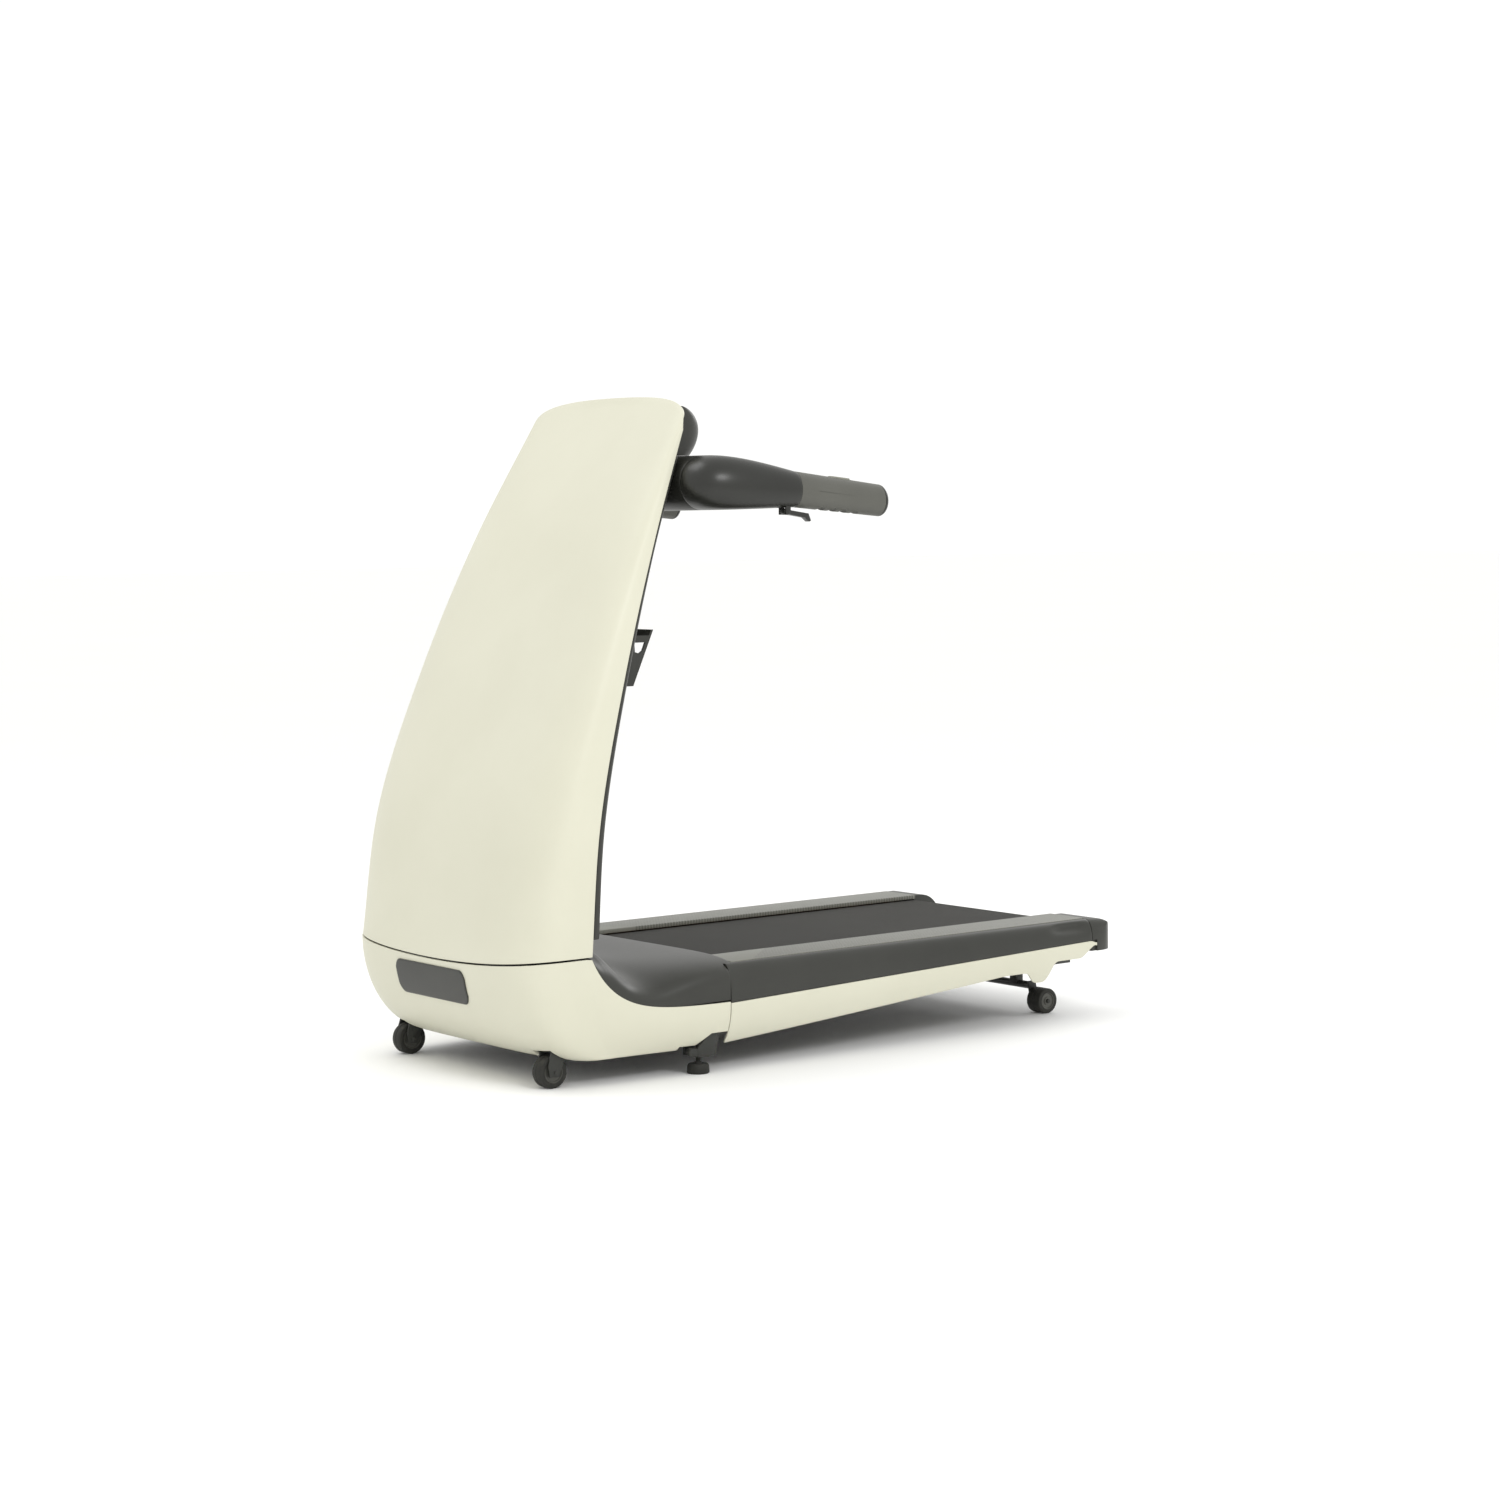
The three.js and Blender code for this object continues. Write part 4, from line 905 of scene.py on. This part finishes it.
def belt_shape(u, v):
    way = v * 2 * (straight + bend)
    x = 214 * u
    if way < straight:
        return Vector((x, FRONT_ROLLER + way, ROLLER_Z + loop_radius))
    if way < straight + bend:
        turn_angle = (way - straight) / loop_radius
        return Vector((x, REAR_ROLLER + loop_radius * math.sin(turn_angle),
                       ROLLER_Z + loop_radius * math.cos(turn_angle)))
    if way < 2 * straight + bend:
        return Vector((x, REAR_ROLLER - (way - straight - bend), ROLLER_Z - loop_radius))
    turn_angle = (way - 2 * straight - bend) / loop_radius
    return Vector((x, FRONT_ROLLER - loop_radius * math.sin(turn_angle),
                   ROLLER_Z - loop_radius * math.cos(turn_angle)))


running_belt = bent_grid("running_belt_loop", 16, 520, belt_shape, 2.2, 0, (0, 164, ROLLER_Z))
stand_for(running_belt, "running_belt")

# %% Rollers and shafts
drum = mirrored_outline([(272, 0), (272, 7), (271, 8), (217, 8), (217, 23), (216, 24)])
pulley = [(-239, 8), (-239, 27), (-237, 24), (-223, 24), (-221, 27), (-221, 8)]
drive_drum = drum[:3] + [(-239, 8)] + pulley[1:] + drum[3:]
stand_for(spun("rear_roller_turned", drum, 0, REAR_ROLLER, ROLLER_Z), "rear_roller")
stand_for(spun("front_roller_turned", drive_drum, 0, FRONT_ROLLER, ROLLER_Z), "front_roller")
fold_pin = mirrored_outline([(198, 0), (198, 9), (197, 10)])
stand_for(spun("fold_shaft_turned", fold_pin, 0, FOLD_Y, FOLD_Z, 40), "fold_shaft")

# %% [markdown]
# ## Wheels
# The machine rolls on its front wheels when the rear is lifted. A wheel is a hard hub with a
# softer tyre, so each is two turned pieces. The tyre stands for the CAD wheel, and the hub rides
# along with it.

# %% Wheels
def wheel_pair(place, x, y, radius, width):
    half = width / 2
    tyre = mirrored_outline([
        (half - 1, radius * 0.66), (half, radius * 0.7), (half, radius - 4),
        (half - 1.2, radius - 1.2), (half - 4, radius), (2, radius), (1, radius - 0.8)])
    hub = mirrored_outline([
        (half - 1.5, 4.6), (half - 1.5, radius * 0.3), (half - 3.5, radius * 0.34),
        (half - 3.5, radius * 0.56), (half - 0.6, radius * 0.62), (half - 0.6, radius * 0.655)])
    for hand, side in (("left", -1), ("right", 1)):
        node = f"{place}_wheel_{hand}"
        stand_for(spun(f"{place}_tyre_{hand}", tyre + tyre[:1], side * x, y, radius), node)
        centre = spun(f"{place}_hub_{hand}", hub + hub[:1], side * x, y, radius)
        ride_along(centre, BODY_OF[node], "hub_plastic")


wheel_pair("front", 253, -643, 31, 30)
wheel_pair("rear", 231, 640, 27, 40)

# %% [markdown]
# ## Levelling feet
# A rubber pad on a threaded stem, screwed up or down to take out the rock. The pad is spun about
# X like every turned piece and then stood upright. The stem gets real thread ridges, because
# they catch the light.

# %% Levelling feet
pad = [(0, 0), (0, 20.4), (0.8, 21.4), (2, 22), (15, 21), (18, 19), (18, 7.6), (19, 7), (22, 7)]
thread = []
for turn in range(20):
    thread += [(22.4 + turn * 1.55, 5.0), (23.2 + turn * 1.55, 4.3)]
pad_and_stem = pad + [(22, 5)] + thread + [(53.4, 5), (54, 4.4), (54, 0)]
for hand, side in (("left", -1), ("right", 1)):
    foot = spun(f"levelling_foot_turned_{hand}", pad_and_stem, 0, 0, 0, 48)
    foot.data.transform(Matrix.Rotation(-math.pi / 2, 4, "Y"))
    foot.data.transform(Matrix.Translation((side * 0.314, -0.34, 0)))
    stand_for(foot, f"levelling_foot_{hand}")
print("levelling foot height:", round(foot.dimensions.z, 4), "m")

# %% [markdown]
# ## Handlebars
# A round bar crosses the mast, and each arm leaves its end and turns towards the runner while it
# slims down to the grip. The arm is a tube whose rings follow two guide curves, one down its
# outer side and one down its inner side. The grip is a separate moulding in two halves, with
# finger hollows underneath, a thumb key on top and a trigger at its root.

# %% Tube helper
def ring_tube(name, sides, steps, ring, rim=1.2):
    """A grid rolled into a tube: ring(v) gives the centre, side vector and up vector."""
    bm = bmesh.new()
    bmesh.ops.create_grid(bm, x_segments=sides, y_segments=steps, size=1)
    for vert in bm.verts:
        centre, side, top = ring((vert.co.y + 1) / 2)
        turn = vert.co.x * math.pi
        vert.co = centre + side * math.sin(turn) + top * math.cos(turn)
    bmesh.ops.remove_doubles(bm, verts=bm.verts, dist=0.005)
    bmesh.ops.holes_fill(bm, edges=[e for e in bm.edges if e.is_boundary], sides=0)
    bmesh.ops.recalc_face_normals(bm, faces=bm.faces)
    piece = piece_from(bm, name)
    return round_edges(piece, rim, 3, 40) if rim else piece


def bezier(points, s):
    a, b, c, d = (Vector(p) for p in points)
    return a * (1 - s) ** 3 + b * 3 * s * (1 - s) ** 2 + c * 3 * s * s * (1 - s) + d * s ** 3


# %% Arms
GRIP_X, GRIP_START, GRIP_END, GRIP_ROOT_Z = 345, -114, 98, 1119
outer_guide = [(BAR_X + 0.3, BAR_Y - BAR_R), (GRIP_X + 24, BAR_Y - BAR_R),
               (GRIP_X + 35, BAR_Y - 8), (GRIP_X + 31, GRIP_START)]
inner_guide = [(BAR_X + 0.3, BAR_Y + BAR_R), (BAR_X + 14, BAR_Y + BAR_R),
               (GRIP_X - 32, BAR_Y + 92), (GRIP_X - 31, GRIP_START)]


def arm_ring(v):
    outer, inner = bezier(outer_guide, v), bezier(inner_guide, v)
    fall = v ** 3
    middle, half = (outer + inner) / 2, (outer - inner) / 2
    return (Vector((middle.x, middle.y, mix(BAR_Z, GRIP_ROOT_Z, fall))),
            Vector((half.x, half.y, 0)), Vector((0, 0, mix(BAR_R, 35, fall))))


bar = mirrored_outline([(BAR_X, 0), (BAR_X, BAR_R - 2.2), (BAR_X - 0.7, BAR_R - 0.7),
                        (BAR_X - 2.2, BAR_R)])
stand_for(spun("handle_crossbar_tube", bar, 0, BAR_Y, BAR_Z, 112), "handle_crossbar")
arm_right = ring_tube("handle_arm_moulding_right", 96, 60, arm_ring, 2.0)
stand_for_both(arm_right, "handle_arm")

# %% Grips
GRIP_TILT = 0.107


def grip_z(y):
    return GRIP_ROOT_Z - GRIP_TILT * (y - GRIP_START)


def on_grip(piece, x, y, z):
    """Tilts a piece like the grip and sets it down at a place in millimetres."""
    piece.data.transform(Matrix.Rotation(-GRIP_TILT, 4, "X"))
    piece.data.transform(Matrix.Translation((x * MM, y * MM, z * MM)))
    return piece


def grip_ring(y, scale=1.0):
    share = (y - GRIP_START) / (GRIP_END - GRIP_START)
    return (Vector((GRIP_X, y, grip_z(y))), Vector((mix(31, 29, share) * scale, 0, 0)),
            Vector((0, 0, mix(35, 31.5, share) * scale)))


grip_right = ring_tube("handle_grip_moulding_right", 96, 70,
                       lambda v: grip_ring(mix(GRIP_START + 0.3, GRIP_END, v)), 1.0)
hollows = [rod("hollow", 9, GRIP_X - 40, GRIP_X + 40, y, grip_z(y) - 36, 40)
           for y in (-52, -24, 4, 32)]
cut_with(grip_right, *hollows)
for side in (-1, 1):
    seam = block("seam", (-0.5, -106, -0.5), (0.5, 106, 0.5))
    cut_with(grip_right, on_grip(seam, GRIP_X + side * 30.1, -8, grip_z(-8)))
pocket = block("pocket", (-8.5, -26.5, -4), (8.5, 26.5, 8))
cut_with(grip_right, on_grip(pocket, GRIP_X, 0, grip_z(0) + 28))
stand_for_both(grip_right, "handle_grip", "grip_rubber")

# %% Grip caps, keys and triggers
TRIGGER_Y, TRIGGER_Z = GRIP_START - 21, 1076
cap = ring_tube("grip_cap_moulding_right", 80, 24, lambda v: grip_ring(
    GRIP_END + 0.3 + 14 * v, math.sqrt(1 - 0.86 * v ** 2.4)), 0.8)
stand_for_both(cap, "grip_cap")
for hand, side in (("left", -1), ("right", 1)):
    softened(f"grip_key_{hand}", 1.2, "key_plastic")
    softened(f"trigger_{hand}", 1.4)
    bm = bmesh.new()
    for offset in (-12, 8):
        ear = bmesh.ops.create_cube(bm, size=1)["verts"]
        bmesh.ops.scale(bm, vec=(4, 12, 26), verts=ear)
        bmesh.ops.translate(bm, vec=(GRIP_X + offset + 2, TRIGGER_Y, TRIGGER_Z + 7), verts=ear)
    pin = bmesh.ops.create_cone(bm, cap_ends=True, segments=24, radius1=2.5, radius2=2.5,
                                depth=25)["verts"]
    bmesh.ops.rotate(bm, matrix=Matrix.Rotation(math.pi / 2, 3, "Y"), verts=pin)
    bmesh.ops.translate(bm, vec=(GRIP_X, TRIGGER_Y, TRIGGER_Z), verts=pin)
    if side < 0:
        bmesh.ops.scale(bm, vec=(-1, 1, 1), verts=bm.verts)
        bmesh.ops.recalc_face_normals(bm, faces=bm.faces)
    ears = round_edges(piece_from(bm, f"trigger_ears_{hand}"), 0.8)
    ride_along(ears, f"handle_{hand}", "handle_plastic")

# %% [markdown]
# ## Console
# At the top of the mast a rounded pod faces the runner. Its face is a sloping recess with a dark
# window between a start and a stop key, and the red safety key below. A grid gives the rounded
# face, one extrusion closes it against the panel, and the recess and key holes are cut out. The
# lit bars of the window are seen from the runner's side, where X runs to the left, so the bars
# of a five are read as a two.

# %% Console pod
FACE_TILT, FACE_PLACE = 0.3, Vector((0, -217, 1236))


def on_face(piece):
    piece.data.transform(Matrix.Rotation(FACE_TILT, 4, "X"))
    piece.data.transform(Matrix.Translation(FACE_PLACE * MM))
    return piece


bm = bmesh.new()
bmesh.ops.create_grid(bm, x_segments=100, y_segments=40, size=1)
for vert in bm.verts:
    angle = even_angle(vert.co.x, 4, 218, 110)
    z = mix(1187, 1282, (vert.co.y + 1) / 2)
    depth = 112 * math.sqrt(1 - ((z - 1212) / 71) ** 2)
    vert.co = (218 * full_sin(angle, 4), mast_at(z)[1] + 5 + depth * full_cos(angle, 4), z)
grown = bmesh.ops.extrude_face_region(bm, geom=bm.faces[:])["geom"]
for vert in verts_of(grown):
    vert.co.y = mast_at(vert.co.z)[1] + 1.3
bmesh.ops.recalc_face_normals(bm, faces=bm.faces)
pod = round_edges(piece_from(bm, "console_pod_moulding"), 7, 5, 50)
tools = [on_face(block("recess", (-142, 0, -34), (142, 60, 36))),
         on_face(block("key_slot", (-12.5, -14, -30.5), (12.5, 4, -21.5)))]
for x in (-118, 118):
    bm = bmesh.new()
    bmesh.ops.create_cone(bm, cap_ends=True, segments=40, radius1=9.6, radius2=9.6, depth=16)
    bmesh.ops.rotate(bm, matrix=Matrix.Rotation(math.pi / 2, 3, "X"), verts=bm.verts)
    bmesh.ops.translate(bm, vec=(x, -4, 0), verts=bm.verts)
    tools.append(on_face(piece_from(bm, "key_hole")))
cut_with(pod, *tools)
round_edges(pod, 1.0, 2, 50)
stand_for(pod, "console_pod")

# %% Window, figures and keys
softened("display_lens", 0.6)
for node in ("start_button", "stop_button", "safety_key"):
    softened(node, 0.9, "key_plastic" if node == "start_button" else None)
LIT = {"0": "abcdef", "5": "acdfg"}
SPOTS = {"a": (0, 8, 6, 1.4), "g": (0, 0, 6, 1.4), "d": (0, -8, 6, 1.4), "b": (4, 4, 1.4, 6),
         "c": (4, -4, 1.4, 6), "e": (-4, -4, 1.4, 6), "f": (-4, 4, 1.4, 6)}
bm = bmesh.new()
for x, figure in ((-70, "0"), (-56, "0"), (-10, "0"), (4, "5"), (56, "0"), (70, "0")):
    for part in LIT[figure]:
        dx, dz, wide, tall = SPOTS[part]
        bar_verts = bmesh.ops.create_cube(bm, size=1)["verts"]
        bmesh.ops.scale(bm, vec=(wide, 0.3, tall), verts=bar_verts)
        bmesh.ops.translate(bm, vec=(x + dx, 3.2, dz), verts=bar_verts)
figures = on_face(piece_from(bm, "display_figures"))
ride_along(figures, "mast", "display_figures")
softened("tablet_holder", 1.1)

# %% [markdown]
# ## Screws
# The back of the mast is held to its frame by screws along both edges. A head is a short cone
# with a small raised hexagon, and the same few faces are set down at every place, each square to
# the curved shell.

# %% Screws
def screw_heads(name, places, body, slot):
    bm = bmesh.new()
    for spot, facing_way in places:
        head = bmesh.ops.create_cone(bm, cap_ends=True, segments=20, radius1=4.5, radius2=3.2,
                                     depth=1.8)["verts"]
        boss = bmesh.ops.create_cone(bm, cap_ends=True, segments=6, radius1=1.6, radius2=1.6,
                                     depth=0.3)["verts"]
        bmesh.ops.translate(bm, vec=(0, 0, 1.0), verts=boss)
        turn = Vector(facing_way).to_track_quat("Z", "Y").to_matrix()
        bmesh.ops.rotate(bm, matrix=turn, verts=head + boss)
        bmesh.ops.translate(bm, vec=spot, verts=head + boss)
    ride_along(piece_from(bm, name), body, slot)


spots = []
for z in (340, 500, 660, 1010):
    half, edge, _ = mast_at(z)
    for side in (-1, 1):
        x = half - 46
        fullness, reach = back_fullness(z), half - BACK_INSET
        rise = (1 - (x / reach) ** fullness) ** (1 / fullness)
        slope = (x / reach) ** (fullness - 1) * rise ** (1 - fullness) * BACK_BULGE / reach
        lean = (mast_at(z + 5)[1] - mast_at(z - 5)[1]) / 10
        spots.append(((side * x, edge + BACK_GAP + 0.6 + BACK_BULGE * rise, z),
                      (side * slope, 1, -lean)))
screw_heads("mast_screws", spots, "mast", "black_steel")
print("screw heads:", len(spots))

# %% [markdown]
# ## Steelwork and the rest
# Frames, forks, brackets and housings already have the right shape in CAD. Their edges are
# rounded a little, as welded and cast parts are, and each takes its own finish.

# %% Steelwork
for node, radius in (("base_frame", 1.6), ("hinge_plate", 0.8), ("belly_pan", 0.6),
                     ("deck_board", 1.0), ("controller_box", 1.5), ("power_inlet", 0.8),
                     ("power_switch", 1.0), ("rear_axle_frame", 1.0), ("mast_frame", 1.0),
                     ("front_fork_left", 0.8), ("front_fork_right", 0.8),
                     ("foot_bracket_left", 0.8), ("foot_bracket_right", 0.8),
                     ("motor", 1.0), ("motor_rotor", 0.5), ("drive_belt", 0.4),
                     ("deck_cushion_front_left", 1.0), ("deck_cushion_front_right", 1.0),
                     ("deck_cushion_rear_left", 1.0), ("deck_cushion_rear_right", 1.0)):
    softened(node, radius)
print("CAD nodes still shown:", [n for n, o in frame["nodes"].items() if not o.hide_render])

# %% [markdown]
# ## Floor
# One plain, nearly white floor, big enough to reach the horizon of the lens. Its tone wanders
# very slightly so that it is not a dead flat colour.

# %% Floor
bm = bmesh.new()
bmesh.ops.create_grid(bm, x_segments=1, y_segments=1, size=60000)
floor = piece_from(bm, "studio_floor")
pale, pale_tree, pale_shader = finish_base("floor_paint", specular=0.1)
pale_drift = spread(pale_tree, noise(pale_tree, 0.8, 3.0), 0.0, 1.0)
pale_tree.links.new(tone_mix(pale_tree, pale_drift, (0.955, 0.955, 0.95), (0.965, 0.965, 0.96)),
                    pale_shader.inputs["Base Color"])
pale_shader.inputs["Roughness"].default_value = 0.8
floor.data.materials.append(pale)
print("floor", floor.name, "is", round(floor.dimensions.x), "m wide")
